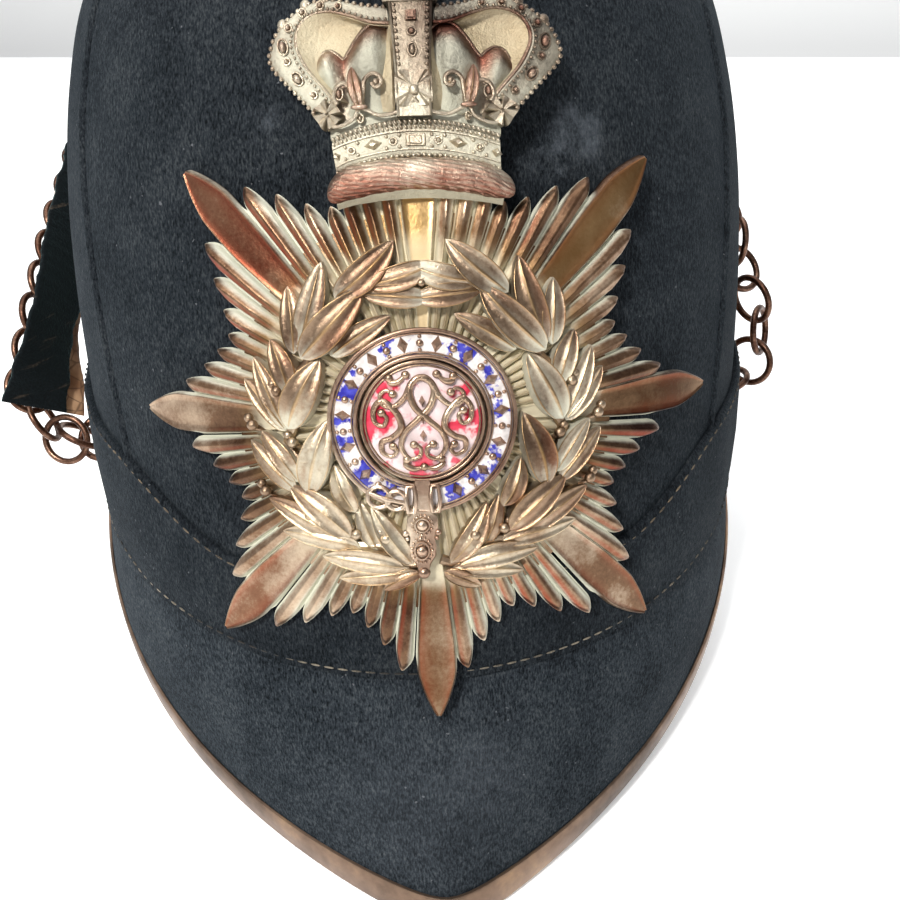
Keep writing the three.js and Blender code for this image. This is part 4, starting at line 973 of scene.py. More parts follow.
RED_PLACES = ((182, 20, 1.0), (354, 20, 1.0), (264, 14, 0.9), (226, 10, 0.4), (305, 10, 0.4), (137, 22, 0.5),
              (31, 14, 0.6))
for vert in skin(bm, DISC_COLUMNS, DISC_ROWS, disc_place, cap=True):
    inwards = smooth_step((vert.co.xy - BELT_MIDDLE).length, 2.5, 6.5)
    vert[patina_and_painted_light_layer] = 0.63 - 0.25 * nearness(vert, RED_PLACES) * inwards
bmesh.ops.solidify(bm, geom=bm.faces, thickness=0.5)
plate_piece("centre_enamel", bm, red_enamel, "red_enamel", "plate_centre")

SCROLLS = (  # right-hand wires as (u, v) from the disc's middle; each has a twin on the left
    ((4.5, 4.7), (5.5, 5.3), (6.5, 4.5), (6.1, 3.0), (4.4, 2.7), (2.7, 4.1), (1.4, 6.5), (-0.5, 7.2), (-1.9, 5.4),
     (-1.2, 2.6), (0.9, 0.4), (2.9, -1.6), (3.5, -4.0), (2.3, -5.9), (0.7, -5.6), (0.5, -4.2), (1.5, -3.6)),
    ((6.4, 1.7), (5.6, 0.9), (6.2, -0.4), (7.5, 0.2), (7.6, 2.2), (6.2, 3.6), (4.0, 1.6), (3.4, -0.8), (4.9, -2.4),
     (6.5, -3.1), (6.5, -4.8), (5.1, -5.5), (4.2, -4.6), (4.8, -3.8)),
    ((0, -7.4), (1.6, -7.7), (2.9, -7.0), (2.7, -6.1)), ((2.4, 7.7), (3.6, 6.6), (4.8, 6.5), (5.0, 7.2)),
)
WIRE = 0.40
scroll_metal = struck_finish("scroll_metal", (98, 78, 66), (162, 136, 114), (216, 198, 172), (150, 84, 66),
                             (206, 196, 180), roughness=0.28, verdigris=0.5)
bm, patina_and_painted_light_layer, copper_and_painted_light_layer, gilding_layer = relief_mesh()


def curve_points(knots, steps=6):
    """A smooth way through knots, with steps points for each span."""
    points = []
    for i in range(len(knots) - 1):
        before = knots[i - 1] if i else knots[0] * 2 - knots[1]
        after = knots[i + 2] if i + 2 < len(knots) else knots[-1] * 2 - knots[-2]
        points += [spline(before, knots[i], knots[i + 1], after, k / steps) for k in range(steps)]
    return points + [knots[-1]]


for side in (1, -1):
    for n, scroll in enumerate(SCROLLS):
        over = 0.12 if side > 0 else 0
        path = curve_points([Vector((BELT_MIDDLE.x + side * u, v, 2.55 - 0.008 * (u * u + v * v) + over))
                             for u, v in scroll])
        count = len(path) - 1
        radius = [WIRE * (0.75 + 0.6 * math.sin(math.pi * k / count) ** 2) for k in range(count + 1)]
        tube(bm, path, radius, squash=0.85)
        for end in (path[0], path[-1]):
            ball(bm, end, WIRE * 1.7, 0.8)
        if n < 2:
            for k in range(8, count - 8, 2):
                ball(bm, path[k] + UP * 0.38, 0.17, 0.8, 6, 4)
for v in (-2.2, 0.6, 3.4):
    pyramid(bm, BELT_MIDDLE + Vector((0, v)), Vector((0, 1)), 1.9, 1.0, 2.2, 3.2)
for r, thick in ((9.75, 0.36), (9.1, 0.17)):
    wire_ring(bm, r, thick, 1.75, 120)
for vert in bm.verts:
    vert[copper_and_painted_light_layer] = 0.25
plate_piece("centre_scrollwork", bm, scroll_metal, "plate_metal", sharp=50)

# The crown above the star is one casting: a furred base roll, a jewelled band between rope and
# pearl rows, a cross between lilies, and jewelled arches over a soft cap, with a plain orb on top.
crown_metal = struck_finish("crown_metal", (74, 62, 54), (146, 130, 112), (214, 204, 182), (130, 60, 44),
                            (178, 181, 165), roughness=0.36, verdigris=0.7, grain=0.0005)
CROWN_OUTLINE = ((35.0, 12.4), (35.8, 13.4), (37, 13.8), (38.8, 12.6), (43, 12.3), (45.8, 12.9), (47.8, 15.2),
                 (51, 18.4), (55.5, 22.3), (58.4, 21.8), (61, 20.0), (63.2, 16.6), (64.1, 12.5))  # v, half width
BACKING = ((-1, 0.2), (1, 0.2), (1, 0.9), (0.96, 1.3), (-0.96, 1.3), (-1, 0.9))
bm, patina_and_painted_light_layer, copper_and_painted_light_layer, gilding_layer = relief_mesh()


def mark(made, patina, copper, gilt=0):
    for vert in made:
        vert[patina_and_painted_light_layer] = patina
        vert[copper_and_painted_light_layer] = copper
        if gilt:
            vert[gilding_layer] = gilt


def backing(column, row):
    """The plain sheet behind the crown's reliefs."""
    share, w = BACKING[column % len(BACKING)]
    v, half = CROWN_OUTLINE[row]
    return Vector((share * half, v, w))


mark(skin(bm, len(BACKING), len(CROWN_OUTLINE) - 1, backing, cap=True), 0.85, 0)
FUR_AROUND, FUR_ALONG, FUR_HALF = 96, 260, 14.7


def fur_place(column, row):
    """The roll bows upwards in the middle and its ends are plump; its engraved hair lies along it in waves."""
    t = 2 * row / FUR_ALONG - 1
    u = FUR_HALF * t
    plump = max(1 - abs(t) ** 7, 0) ** 0.5
    middle = 38.5 - 2.4 * t * t - 0.5 * t ** 6
    around = math.tau * (column % FUR_AROUND) / FUR_AROUND
    strands = 0.1 * math.sin(around * 22 + 1.6 * u + 2.2 * math.sin(0.5 * u))
    locks = 0.6 + 0.4 * math.sin(3.1 * u + around * 7)
    hair = strands * locks + 0.06 * math.sin(u * 1.3 + 2 * math.sin(around * 2))
    thick = (2.35 + 0.35 * abs(t) + hair) * plump
    return Vector((u, middle + thick * math.sin(around), 3.0 + (2.9 + hair) * plump * math.cos(around)))


for vert in skin(bm, FUR_AROUND, FUR_ALONG, fur_place, cap=True):
    low = 1 - smooth_step(vert.co.y + 0.011 * vert.co.x ** 2, 37.2, 40.6)
    tuft = math.sin(vert.co.y * 9 + 1.6 * vert.co.x + 2.2 * math.sin(0.5 * vert.co.x))
    vert[patina_and_painted_light_layer] = 0.2 * tuft - 0.2 * low
    vert[copper_and_painted_light_layer] = 0.63 + 0.35 * low - 0.15 * tuft
apron = [(Vector((u, 35.9 - 0.008 * u * u, 1.6)), Vector((0, 1, 0)), UP)
         for u in (13.2 * step / 20 for step in range(-20, 21))]
mark(sweep(bm, apron, ((-1.0, -1.4), (-1.1, -0.4), (-0.4, 0.3), (0.4, 0.8), (1.2, 0.6), (1.2, -1.4))), 0.85, 0, 0.12)
BAND_BOW = 0.0153


def bowed(u, v):
    """The band's rows bow upwards in the middle."""
    return v - BAND_BOW * u * u


def band_rail(v, wide, low, high, half, patina, copper):
    stations = [(Vector((u, bowed(u, v), 0)), Vector((0, 1, 0)), UP)
                for u in (half * step / 24 for step in range(-24, 25))]
    mark(sweep(bm, stations, ((-wide, low), (-wide, high * 0.8), (-wide * 0.6, high), (wide * 0.6, high),
                              (wide, high * 0.8), (wide, low))), patina, copper)


band_rail(43.4, 3.0, 1.0, 3.6, 12.5, 0.52, 0.1)
band_rail(47.2, 1.0, 1.0, 2.7, 12.9, 0.7, 0.0)
PEARL_HALF = 12.2
for v, radius, pitch in ((41.15, 0.36, 0.78), (45.35, 0.33, 0.66), (46.15, 0.36, 0.7)):
    count = int(2 * PEARL_HALF / pitch)
    rope = v > 42  # the upper rows are twisted rope, the lowest is pearls
    sizes = (radius * 0.75, radius * 1.15, radius) if rope else (radius,) * 3
    for k in range(count + 1):
        u = PEARL_HALF * (2 * k / count - 1)
        twist = Matrix.Rotation(0.6 if rope else 0, 4, "Z")
        mark(stone(bm, (u, bowed(u, v), 3.65), sizes, twist, 8, 6), 0.25, 0.1)
for v in (42.05, 44.75):
    band_rail(v, 0.14, 3.0, 3.85, 12.4, 0.3, 0.1)


def jewel(place, radius, height=0.7, stretch=1.0, copper=0.4, turn=0.0):
    """A cut stone in a raised collar."""
    turned = Matrix.Rotation(turn, 4, "Z")
    ring = [Vector(place) + turned @ Vector((radius * math.cos(a), radius * stretch * math.sin(a), 0))
            for a in (math.tau * k / 16 for k in range(16))]
    mark(tube(bm, ring, 0.17, closed=True, segments=6), 0.15, 0.1)
    mark(stone(bm, place, (radius * 0.72, radius * 0.72 * stretch, height), turned), 0.1, copper)


def block_jewel(u, v, long, high, low=3.2, top=4.3, copper=0.3):
    """A table-cut stone in a raised square frame."""
    for reach, start, end, patina in ((1.0, low, top - 0.3, 0.15), (0.62, top - 0.35, top, 0.05)):
        base = bmesh.ops.create_grid(bm, x_segments=1, y_segments=1, size=1)["verts"]
        for vert in base:
            vert.co = Vector((u + vert.co.x * long / 2 * reach, v + vert.co.y * high / 2 * reach, start))
        mark(base + raise_face(bm, base, Vector((u, v)), 0.82, end), patina, copper)


BAND_MIDDLE = 43.4
block_jewel(0, BAND_MIDDLE, 3.2, 2.0)
for side in (1, -1):
    for u, lean, long, wide, high in ((6.2, 0.17, 3.4, 2.0, 4.5), (11.9, 0.3, 2.0, 1.8, 4.3)):
        way = Vector((1, -lean * side)).normalized()
        pyramid(bm, Vector((side * u, bowed(u, BAND_MIDDLE))), way, long, wide, 3.3, high)
    for u in (3.3, 9.4):
        jewel((side * u, bowed(u, BAND_MIDDLE), 3.7), 0.5, 0.6)
        for du, dv in ((-0.95, 0.85), (0.95, 0.85), (-0.95, -0.9), (0.95, -0.9)):
            spot = (side * u + du, bowed(u + du * side, BAND_MIDDLE + dv), 3.65)
            mark(ball(bm, spot, 0.3, 1, 8, 6), 0.2, 0.1)
for vert in bm.verts:
    if vert.co.z > 4.35 and 42 < vert.co.y + BAND_BOW * vert.co.x ** 2 < 45:
        vert[copper_and_painted_light_layer] = 0.55

# The crown's arches: a ribbon on either side between an inner wire and a pearled outer edge, set
# with stones. The soft cap hangs from its crest between them, behind a lily and a swag of cord.
ARCH_INNER = ((11.9, 49.6), (13.3, 51.2), (16.2, 54.6), (17.9, 58.2), (17.3, 61.0), (15.2, 62.7), (12.2, 63.1),
              (9.2, 62.4), (5.9, 61.2), (3.2, 60.9))
ARCH_OUTER = ((15.4, 48.0), (18.3, 51.0), (22.4, 55.4), (22.2, 58.4), (20.5, 61.0), (17.3, 63.4), (14.2, 64.6),
              (10.6, 64.5), (7.2, 63.7), (3.4, 63.2))
CAP_CREST = ((2.7, 60.2), (4.4, 61.2), (6.4, 60.8), (8.2, 59.0), (9.5, 57.2), (10.4, 56.2), (11.4, 56.9), (12.7, 57.5),
             (14.2, 57.0), (15.3, 55.2))
CAP_COLUMNS, CAP_ROWS, HOLLOW_ROWS = 44, 22, 10
CAP_LOBES = ((6.4, 2.7), (13.0, 1.9))
ARCH_STONES = ((0.09, 0.45, 0.55, 1.0), (0.17, 0.5, 0.8, 1.45), (0.25, 0.45, 0.55, 1.0), (0.325, 0.5, 0.85, 1.45),
               (0.44, 0.5, 0.6, 1.0), (0.55, 0.55, 0.6, 1.0), (0.66, 0.55, 0.6, 1.0), (0.76, 0.55, 0.5, 1.0))
RIBBON = ((0, 1.2), (0, 3.5), (0.1, 3.8), (0.3, 3.55), (0.6, 3.7), (0.85, 3.65), (1.0, 3.3), (1.0, 1.2))
LILY_CURLS = (((8.1, 48.6), (8.7, 50.6), (9.9, 52.0), (11.2, 51.5), (11.7, 50.0), (11.2, 48.9)),
              ((7.7, 48.6), (7.3, 50.6), (7.0, 52.4), (5.9, 53.3), (4.8, 52.8), (4.7, 51.7), (5.5, 51.3), (6.0, 52.0)))
SWAG = ((0, 49.3, 4.9), (1.2, 48.2, 4.3), (2.8, 47.4, 4.0), (5.0, 47.1, 3.9), (7.0, 48.0, 4.0), (7.9, 48.4, 4.0),
        (8.8, 46.8, 3.9), (10.4, 45.9, 3.8), (12.0, 45.7, 3.7), (13.0, 46.3, 3.4))


def between(points, place):
    """The point a number of steps along a row of points, the number whole or not."""
    i = min(int(place), len(points) - 2)
    return points[i].lerp(points[i + 1], place - i)


for side in (1, -1):
    inner = curve_points([Vector((side * u, v, 3.4)) for u, v in ARCH_INNER], 8)
    outer = curve_points([Vector((side * u, v, 3.2)) for u, v in ARCH_OUTER], 8)
    spans = len(inner) - 1

    def ribbon(column, row):
        share, w = RIBBON[column % len(RIBBON)]
        return Vector((*inner[row].lerp(outer[row], share).xy, w))
    mark(skin(bm, len(RIBBON), spans, ribbon, cap=True), 0.62, 0.05)
    mark(tube(bm, inner, 0.34), 0.15, 0.5)
    for line, share, pitch, radius in ((inner, 0.17, 0.82, 0.27), (outer, 0, 1.02, 0.42)):
        walked, last = 0, None
        for i in range(spans * 4):
            spot = between(line, i / 4)
            if share:
                spot = spot.lerp(between(outer, i / 4), share) + UP * 0.35
            walked += (spot - last).length if last else pitch
            last = spot
            if walked >= pitch:
                walked = 0
                mark(ball(bm, spot + UP * 0.15, radius, 0.9, 8, 6), 0.28, 0.1)
    for t, share, radius, stretch in ARCH_STONES:
        i = int(t * spans)
        spot = between(inner, t * spans).lerp(between(outer, t * spans), share)
        way = inner[i + 1] - inner[i]
        jewel((*spot.xy, 3.8), radius, 0.7, stretch, 0.6, math.atan2(-way.x, way.y))
    for t in (0.47, 0.6, 0.72):
        spot = outer[int(t * spans)]
        mark(ball(bm, (spot.x, spot.y + 0.15, 3.1), 0.95, 0.8), 0.35, 0.1)

    def hollow(column, row):
        """The cap's hollow side between the middle strip and the arch's inner wire."""
        s = column / HOLLOW_ROWS
        spot = Vector((side * 2.8, 47.5 + 13.6 * row / spans)).lerp(inner[row].xy, s)
        return Vector((*spot, 1.3 + 1.9 * abs(2 * s - 1) ** 3))
    shell = skin(bm, HOLLOW_ROWS, spans, hollow)
    mark(shell, 0.72, 0.0, 0.2)
    bmesh.ops.solidify(bm, geom=list({face for vert in shell for face in vert.link_faces}), thickness=0.5)
    crest = curve_points([Vector((u, v, 0)) for u, v in CAP_CREST], 6)
    cap_loop = [(s / CAP_ROWS, True) for s in range(CAP_ROWS + 1)]
    cap_loop += [(s, False) for s, _ in reversed(cap_loop)]

    def cap_fold(column, row):
        """The cap hanging from its crest in two soft lobes, with a valley between them."""
        s, face = cap_loop[column % len(cap_loop)]
        top = between(crest, row / CAP_COLUMNS * (len(crest) - 1))
        foot_u = 2.7 + (top.x - 2.7) * 0.70
        u = foot_u + (top.x - foot_u) * min(s * 1.25, 1)
        v = 46.6 + (top.y - 46.6) * s
        lobe = 0.25 + 0.75 * max(hump(top.x, *CAP_LOBES[0]), 0.72 * hump(top.x, *CAP_LOBES[1]))
        swell = (0.3 + 0.7 * smooth_step(s, 0.2, 0.72)) * math.sqrt(max(1 - (max(s - 0.74, 0) / 0.26) ** 2, 0))
        ripple = 0.16 * math.sin(top.x * 2.3 + 3 * s) * smooth_step(s, 0.05, 0.5) * (1 - s)
        return Vector((side * u, v, 1.5 + 2.8 * lobe * swell + 1.6 * ripple if face else 1.3))
    for vert in skin(bm, len(cap_loop), CAP_COLUMNS, cap_fold, cap=True):
        spot = min(crest, key=lambda point: abs(point.x - abs(vert.co.x)))
        near_crest = smooth_step(vert.co.y - spot.y, -4.0, -0.4)
        # The valley between the lobes is painted redder and less pale, a painted shade in the crease.
        crease_shade = smooth_step(abs(vert.co.x), 9.2, 10.4) * (1 - smooth_step(abs(vert.co.x), 11, 12.5))
        vert[patina_and_painted_light_layer] = 0.78 - 0.7 * near_crest - 0.4 * crease_shade
        vert[copper_and_painted_light_layer] = 0.05 + 0.6 * near_crest + 0.4 * crease_shade
    cord = [Vector((side * p.x, p.y - 0.15, 1.8 + 0.9 * hump(p.x, *CAP_LOBES[0]))) for p in crest]
    mark(tube(bm, cord, 0.3), 0.1, 0.45)

    # lily: a ridged blade between two curls, tied by a cross band
    made_before = set(bm.verts)
    leaf(bm, (side * 9.0, 54.6), (side * 7.9, 48.2), 0.95, 3.2, low=1.5, rows=12)
    mark([vert for vert in bm.verts if vert not in made_before], 0.15, 0.75)
    for curl in LILY_CURLS:
        mark(tube(bm, curve_points([Vector((side * u, v, 4.0)) for u, v in curl], 5), 0.36), 0.3, 0.2)
    jewel((side * 10.9, 50.5, 3.8), 0.6, 0.8, 1.5, 0.8)
    mark(ball(bm, (side * 5.4, 52.1, 4.0), 0.5, 1), 0.2, 0.2)
    mark(stone(bm, (side * 7.9, 48.35, 4.4), (1.25, 0.42, 0.55), u=16, v=10), 0.05, 0.85)
    mark(tube(bm, curve_points([Vector((side * u, v, w)) for u, v, w in SWAG], 6), 0.3), 0.25, 0.3)
    for u, v in ((7.9, 46.8), (12.9, 47.3)):
        jewel((side * u, v, 3.4), 0.42, 0.7, 1.4, 0.3)

# The crosses between the lilies, and the upright middle arch: a hollow strip with pearled edges
# and three stones, its foot behind the middle cross and a plain orb on its head.
def cross_arm(centre, angle, long, near, far, low, high):
    """A cross's arm, wider at its end, with a ridge down its middle."""
    way, across = polar(long, angle), polar(1, angle + math.pi / 2)
    stations = [(Vector((*centre, 0)) + way * share, across * half, UP) for share, half in ((0.12, near), (1.0, far))]
    mark(sweep(bm, stations, ((-1, low), (-1, high - 0.5), (-0.72, high - 0.15), (0, high - 0.55), (0.72, high - 0.15),
                              (1, high - 0.5), (1, low))), 0.35, 0.1)


def upright(halves, outline, patina, copper):
    """A moulding up the crown's middle, given as (v, half width), its outline in shares of the half width."""
    stations = [(Vector((0, v, 0)), Vector((half, 0, 0)), UP) for v, half in halves]
    mark(sweep(bm, stations, outline), patina, copper)


block_jewel(0, 50.9, 5.6, 5.6, 2.4, 4.3, 0.05)
for turn in range(4):
    cross_arm((0, 50.9), turn * math.pi / 2, 2.65, 0.5, 2.3, 3.6, 5.2)
mark(ball(bm, (0, 50.6, 5.0), 0.75, 0.9), 0.1, 0.1)
jewel((0, 47.9, 3.9), 0.35, 0.7, 1.6, 0.2)
for side in (1, -1):
    for turn in range(4):
        cross_arm((side * 13.0, 47.6), turn * math.pi / 2 + side * 0.95, 2.0, 0.4, 1.5, 2.0, 4.3)
upright(((46.8, 2.5), (53.6, 2.6), (57, 2.75), (61, 3.0), (63.6, 3.15), (65.4, 3.1)),
        ((-1, 1.0), (-1, 4.7), (-0.9, 5.0), (-0.84, 4.75), (0, 4.8), (0.84, 4.75), (0.9, 5.0), (1, 4.7), (1, 1.0)),
        0.42, 0.3)
for step in range(10):
    v = 54.4 + 0.98 * step
    for side in (1, -1):
        mark(ball(bm, (side * (1.95 + 0.045 * (v - 54)), v, 4.85), 0.3, 1, 8, 6), 0.2, 0.2)
block_jewel(0, 61.6, 1.7, 1.7, 4.5, 5.6, 0.5)
jewel((0, 59.2, 4.9), 0.62, 0.7, 1, 0.6)
jewel((0, 56.5, 4.9), 0.6, 0.7, 1.7, 0.4)
upright(((63.7, 3.9), (64.2, 4.1), (65.6, 3.9), (66.2, 2.6)),
        ((-1, 1.0), (-1, 4.6), (-0.8, 5.1), (0.8, 5.1), (1, 4.6), (1, 1.0)), 0.5, 0.1)
mark(ball(bm, (0, 68.0, 2.4), 3.2, 0.72, 28, 18), 0.4, 0.1)
belly = [Vector((3.22 * math.cos(a), 68, 2.4 + 2.35 * math.sin(a))) for a in (math.tau * k / 32 for k in range(32))]
mark(tube(bm, belly, 0.3, Vector((0, 1, 0)), closed=True), 0.2, 0.2)
for vert in bm.verts:  # the left side is a little narrower
    beyond = min(vert.co.x + 10, 0)
    vert.co.x -= beyond * (0.28 if vert.co.y < 41 else 0.1)
plate_piece("crown_casting", bm, crown_metal, "crown_metal", "plate_crown", sharp=42)

# The chin strap: worn tan leather backed with black velvet, hooked up behind the helmet. The
# velvet side shows; its pile is rubbed through in rows, and the leather hangs out beyond it.
ROUTE = ((-114.5, 6, 47.5, -0.55, 0.83, 0), (-108.8, 19, 70, -0.88, 0.46, 0.1), (-100.5, 49, 102, -0.6, 0.8, -0.05),
         (-92, 74, 122, -0.5, 0.85, 0.12), (-54, 97, 134, -0.45, 0.85, 0.2), (0, 106.5, 134, 0, 0.97, 0.24),
         (50, 96, 126, 0.48, 0.85, 0.2), (82, 66, 108, 0.85, 0.5, 0.1), (98, 30, 86.5, 0.98, 0.2, 0.1))
STRAP_STEPS = 260
route = curve_points([Vector(place[:3]) for place in ROUTE], 40)
outwards = curve_points([Vector(place[3:]) for place in ROUTE], 40)
lengths = [0]
for a, b in zip(route, route[1:]):
    lengths.append(lengths[-1] + (b - a).length)
STRAP_LENGTH = lengths[-1]


def strap_frame(distance):
    """The strap's middle, its sideways and outward directions, at a distance from its left end."""
    distance = min(max(distance, 0), STRAP_LENGTH)
    i = min(next((k for k, far in enumerate(lengths) if far > distance), len(lengths) - 1), len(lengths) - 1)
    share = (distance - lengths[i - 1]) / max(lengths[i] - lengths[i - 1], 0.001)
    point = route[i - 1].lerp(route[i], share)
    along = (route[i] - route[i - 1]).normalized()
    out = outwards[i - 1].lerp(outwards[i], share)
    out = (out - along * out.dot(along)).normalized()
    return AXIS + point, along.cross(out).normalized(), out


STRIP_OUTLINE = ([(-1, 0.5), (-0.985, 0.85)] + [(-0.95 + 1.9 * k / 12, 1.0) for k in range(13)]
                 + [(0.985, 0.85), (1, 0.5)])  # across the strip in half widths, and the share of its height


def strip(half, low, high, shift=None, ripple=0.0, wave=0.0):
    """A flat strip along the strap between two heights over its middle line, with rounded edges."""
    loop = STRIP_OUTLINE + [(x, 1 - y) for x, y in reversed(STRIP_OUTLINE)]
    strip_random = random.Random(5)
    waves = [strip_random.uniform(-1, 1) for _ in range(STRAP_STEPS + 1)]
    distances = [STRAP_LENGTH * j / STRAP_STEPS for j in range(STRAP_STEPS + 1)]
    frames = [strap_frame(distance) for distance in distances]

    def place(column, row):
        x, y = loop[column % len(loop)]
        point, side, out = frames[row]
        distance = distances[row]
        edge = wave * (0.6 * math.sin(distance * 0.55 + x) + 0.4 * waves[row]) * abs(x)
        rib = 0 if y else ripple * math.sin(distance * 2.9 + 0.7 * math.sin(x * 4))
        moved = shift(distance) if shift else 0
        return point + side * (x * half + edge + moved) + out * (low + (high - low) * y + rib)
    bm = bmesh.new()
    skin(bm, len(loop), STRAP_STEPS, place, cap=True)
    return bm


def hang_out(distance):
    """The leather's end has slipped towards the helmet."""
    return -7.2 * (1 - smooth_step(distance, 10, 60))


leather = Finish("tan_leather", Roughness=0.62)
cracking = leather.edges(210.0)
hide = leather.ramp(leather.noise(120.0, 5.0), (0.35, srgb(120, 84, 58)), (0.65, srgb(186, 150, 116)))
line = leather.ranged(cracking, 0.0, 0.06, 0.75, 0.0)
leather.coat(leather.blend(line, hide, srgb(70, 46, 32)), cracking, 0.35, 0.0003)
new_piece("strap_leather_strip", strip(8.2, 0.0, 1.5, hang_out, wave=0.25), leather, "tan_leather", "strap_leather")

velvet = Finish("worn_velvet", Roughness=0.9, Sheen_Weight=0.7, Sheen_Roughness=0.35, Sheen_Tint=(0.25, 0.42, 0.42, 1),
                Specular_IOR_Level=0.15)
stretched = velvet.node("Mapping", {"Vector": velvet.where, "Scale": (0.35, 0.35, 2.6)})
bare = velvet.ranged(velvet.noise(130.0, 4.0, 0.6, stretched), 0.63, 0.72)
pile = velvet.noise(1400.0, 3.0)
tufts = velvet.ramp(pile, (0.3, srgb(3, 5, 7)), (0.7, srgb(14, 21, 24)))
ground = velvet.ramp(pile, (0.3, srgb(40, 34, 28)), (0.7, srgb(86, 74, 62)))
velvet.coat(velvet.blend(bare, tufts, ground), pile, 0.6, 0.0005)
new_piece("strap_velvet_strip", strip(9.2, -1.7, -0.3, wave=0.55, ripple=0.16), velvet, "black_velvet", "strap_velvet")

# The chain: round brass rings, each lapping the next along the leather, and bare interlocked
# rings at both ends that reach the hooks on the side bosses.
RING_RADIUS, RING_WIRE = 6.95, 1.0
WIRE_COLUMNS, WIRE_ROWS = 12, 44
chain_brass = bronze_finish("chain_brass", srgb(42, 28, 23), srgb(84, 58, 46), srgb(140, 110, 92), 0.38, 2.0, 0.6)


def ring_piece(name, centre, look, node_name):
    """One ring of the chain, its axis along look."""
    turn = look.to_track_quat("Z", "Y").to_matrix()

    def place(i, j):
        section = polar(RING_WIRE, math.tau * (i % WIRE_COLUMNS) / WIRE_COLUMNS)
        angle = math.tau * (j % WIRE_ROWS) / WIRE_ROWS
        return centre + turn @ polar(RING_RADIUS + section.x, angle, section.y)
    bm = bmesh.new()
    skin(bm, WIRE_COLUMNS, WIRE_ROWS, place)
    new_piece(name, bm, chain_brass, "chain_metal", node_name)


def box_middle(node_name):
    low, high = box(node_name)
    return (low + high) / 2


RING_COUNT, RING_TILT = 32, 15
for k in range(RING_COUNT):
    number = f"{k + 1:02d}"
    centre = box_middle("chain_ring_" + number)
    nearest = min(range(len(route)), key=lambda n: (AXIS + route[n] - centre).length)
    _, side, out = strap_frame(lengths[nearest])
    look = Matrix.Rotation(math.radians(RING_TILT), 3, side) @ out
    ring_piece("chain_link_" + number, centre, look, "chain_ring_" + number)
LOOKS = {"left": ((0.89, 0.16, 0.43), (0.2, 0.92, -0.33), (0.49, 0.21, 0.85), (0.11, 0.75, -0.65)),
         "right": ((1, 0, -0.07), (-0.37, 0.7, -0.61), (0.89, 0.42, 0.2), (0.8, -0.57, 0.19), (0.75, 0.66, -0.09),
                   (-0.32, -0.04, 0.95))}
for side_name, looks in LOOKS.items():
    for k, look in enumerate(looks):
        node_name = f"{side_name}_ring_{k + 1}"
        ring_piece(f"{side_name}_end_ring_{k + 1}", box_middle(node_name), Vector(look).normalized(), node_name)

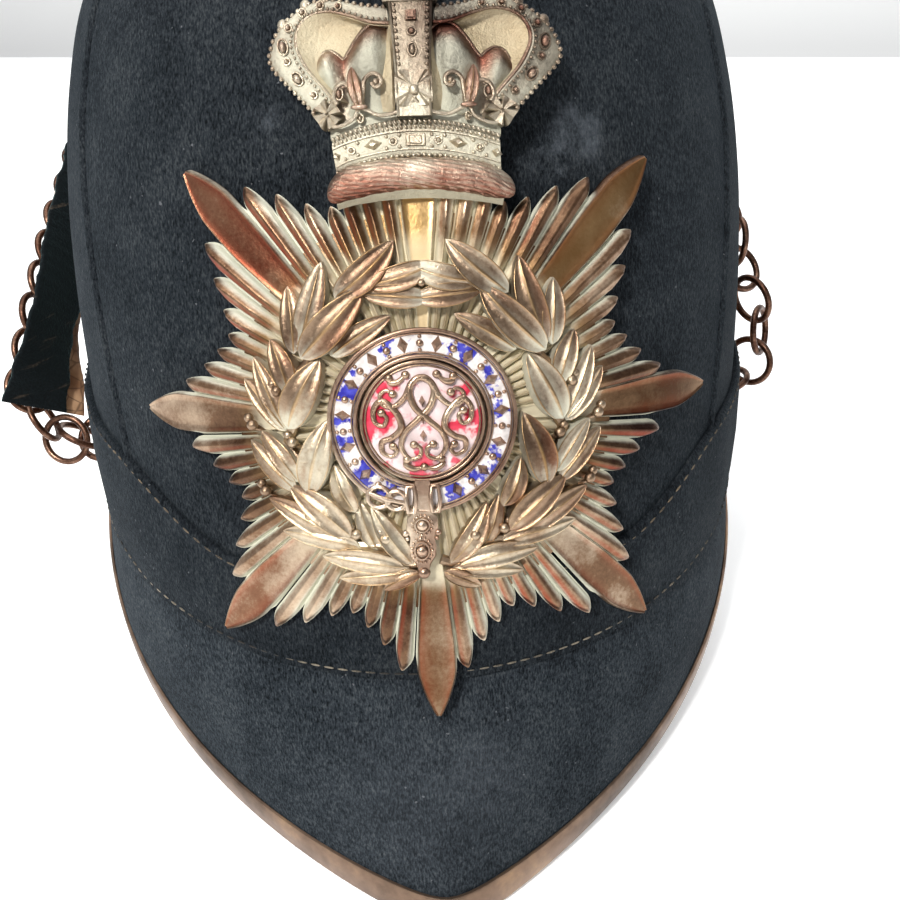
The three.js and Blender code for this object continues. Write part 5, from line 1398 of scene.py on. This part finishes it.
# The side bosses: cast brass roses of six petals over the ends of the peaks, each with a wire
# hook that holds the chain's last ring.
ROSE_RADIUS, ROSE_PETALS, ROSE_COLUMNS, ROSE_ROWS = 12.6, 6, 120, 30
ROSE_MIDDLE = AXIS + Vector((0, 12, 56))
HOOK_PATH = ((-6, 2.2), (-6.4, 0.7), (-8, 0), (-15, 0), (-21, 0))  # height, and how far short of the hook's reach
HOOK_ASIDE = 1.2
fitting_brass = struck_finish("fitting_brass", (64, 44, 30), (134, 98, 66), (194, 160, 118), (150, 80, 52),
                              (176, 176, 156), verdigris=0.6)
for name, side in (("left", -1), ("right", 1)):
    bm, patina_and_painted_light_layer, copper_and_painted_light_layer, gilding_layer = relief_mesh()
    low, high = box("rosette_" + name)
    back_x, front_x = (high.x, low.x) if side < 0 else (low.x, high.x)

    def rose_place(i, j):
        angle = math.tau * (i % ROSE_COLUMNS) / ROSE_COLUMNS
        share = j / ROSE_ROWS
        lobe = abs(math.cos(angle * ROSE_PETALS / 2)) ** 0.7
        inner_lobe = abs(math.sin(angle * ROSE_PETALS / 2)) ** 0.7
        r = ROSE_RADIUS * (0.88 + 0.12 * lobe) * share
        rise = 1.7 + 1.5 * math.sin(math.pi * max((share - 0.5) / 0.5, 0)) * (0.5 + 0.5 * lobe)
        if share < 0.55:
            rise = 2.6 + 1.2 * math.sin(math.pi * share / 0.55) * (0.55 + 0.45 * inner_lobe)
        if share < 0.22:
            rise = 3.6 + 1.2 * math.cos(math.pi / 2 * share / 0.22)
        if share > 0.97:
            rise *= 0.5
        return Vector((back_x + side * rise, *(ROSE_MIDDLE.yz + polar(r, angle).xy)))
    face = skin(bm, ROSE_COLUMNS, ROSE_ROWS, rose_place)
    for vert in face:
        flat = (vert.co.yz - ROSE_MIDDLE.yz).length / ROSE_RADIUS
        vert[patina_and_painted_light_layer] = 0.75 - 0.6 * smooth_step(abs(vert.co.x - back_x), 1.5, 3.2) + 0.1 * flat
        vert[copper_and_painted_light_layer] = 0.2
    rim = list({edge for vert in face for edge in vert.link_edges if edge.is_boundary})
    skirt = bmesh.ops.extrude_edge_only(bm, edges=rim)["geom"]
    for part in skirt:
        if isinstance(part, bmesh.types.BMVert):
            part.co.x = back_x
    bmesh.ops.holes_fill(bm, edges=[edge for edge in bm.edges if edge.is_boundary], sides=0)
    path = [Vector((back_x + side * 3, ROSE_MIDDLE.y + HOOK_ASIDE, ROSE_MIDDLE.z + HOOK_PATH[0][0]))]
    path += [Vector((front_x - side * (1.0 + short), ROSE_MIDDLE.y + HOOK_ASIDE, ROSE_MIDDLE.z + up))
             for up, short in HOOK_PATH]
    mark(tube(bm, path, 1.0, Vector((0, 1, 0))), 0.2, 0.4)
    mark(ball(bm, path[-1], 1.02), 0.2, 0.4)
    new_piece("rose_boss_" + name, bm, fitting_brass, "chain_metal", "rosette_" + name)

# On top sits a low brass cap over the vent hole, turned to a moulded profile. Behind the dome
# a hook of the same brass holds the strap up.
bm, patina_and_painted_light_layer, copper_and_painted_light_layer, gilding_layer = relief_mesh()
CAP_PROFILE = ((0, 0), (14.9, 0), (15.0, 0.6), (14.6, 1.1), (13.4, 1.2), (12.9, 1.8), (12.2, 1.9), (11.2, 2.3),
               (8.6, 3.8),
               (5.4, 4.8), (4.0, 5.0), (3.6, 5.4), (2.2, 5.9), (0, 6.0))
profile = [bm.verts.new((r, 0, z)) for r, z in CAP_PROFILE]
edges = [bm.edges.new(pair) for pair in zip(profile, profile[1:])]
bmesh.ops.spin(bm, geom=profile + edges, axis=(0, 0, 1), cent=(0, 0, 0), steps=64, angle=math.tau, use_merge=True)
bmesh.ops.remove_doubles(bm, verts=bm.verts, dist=0.001)
cap_foot = Vector((AXIS.x, AXIS.y, box("top_cap")[0].z))
for vert in bm.verts:
    vert[patina_and_painted_light_layer] = 0.6 if vert.co.z < 1.9 else 0.25
    vert.co += cap_foot
new_piece("vent_cap", bm, fitting_brass, "chain_metal", "top_cap")
back_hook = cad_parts["back_hook"].data
back_hook.materials.clear()
back_hook.materials.append(fitting_brass.material)
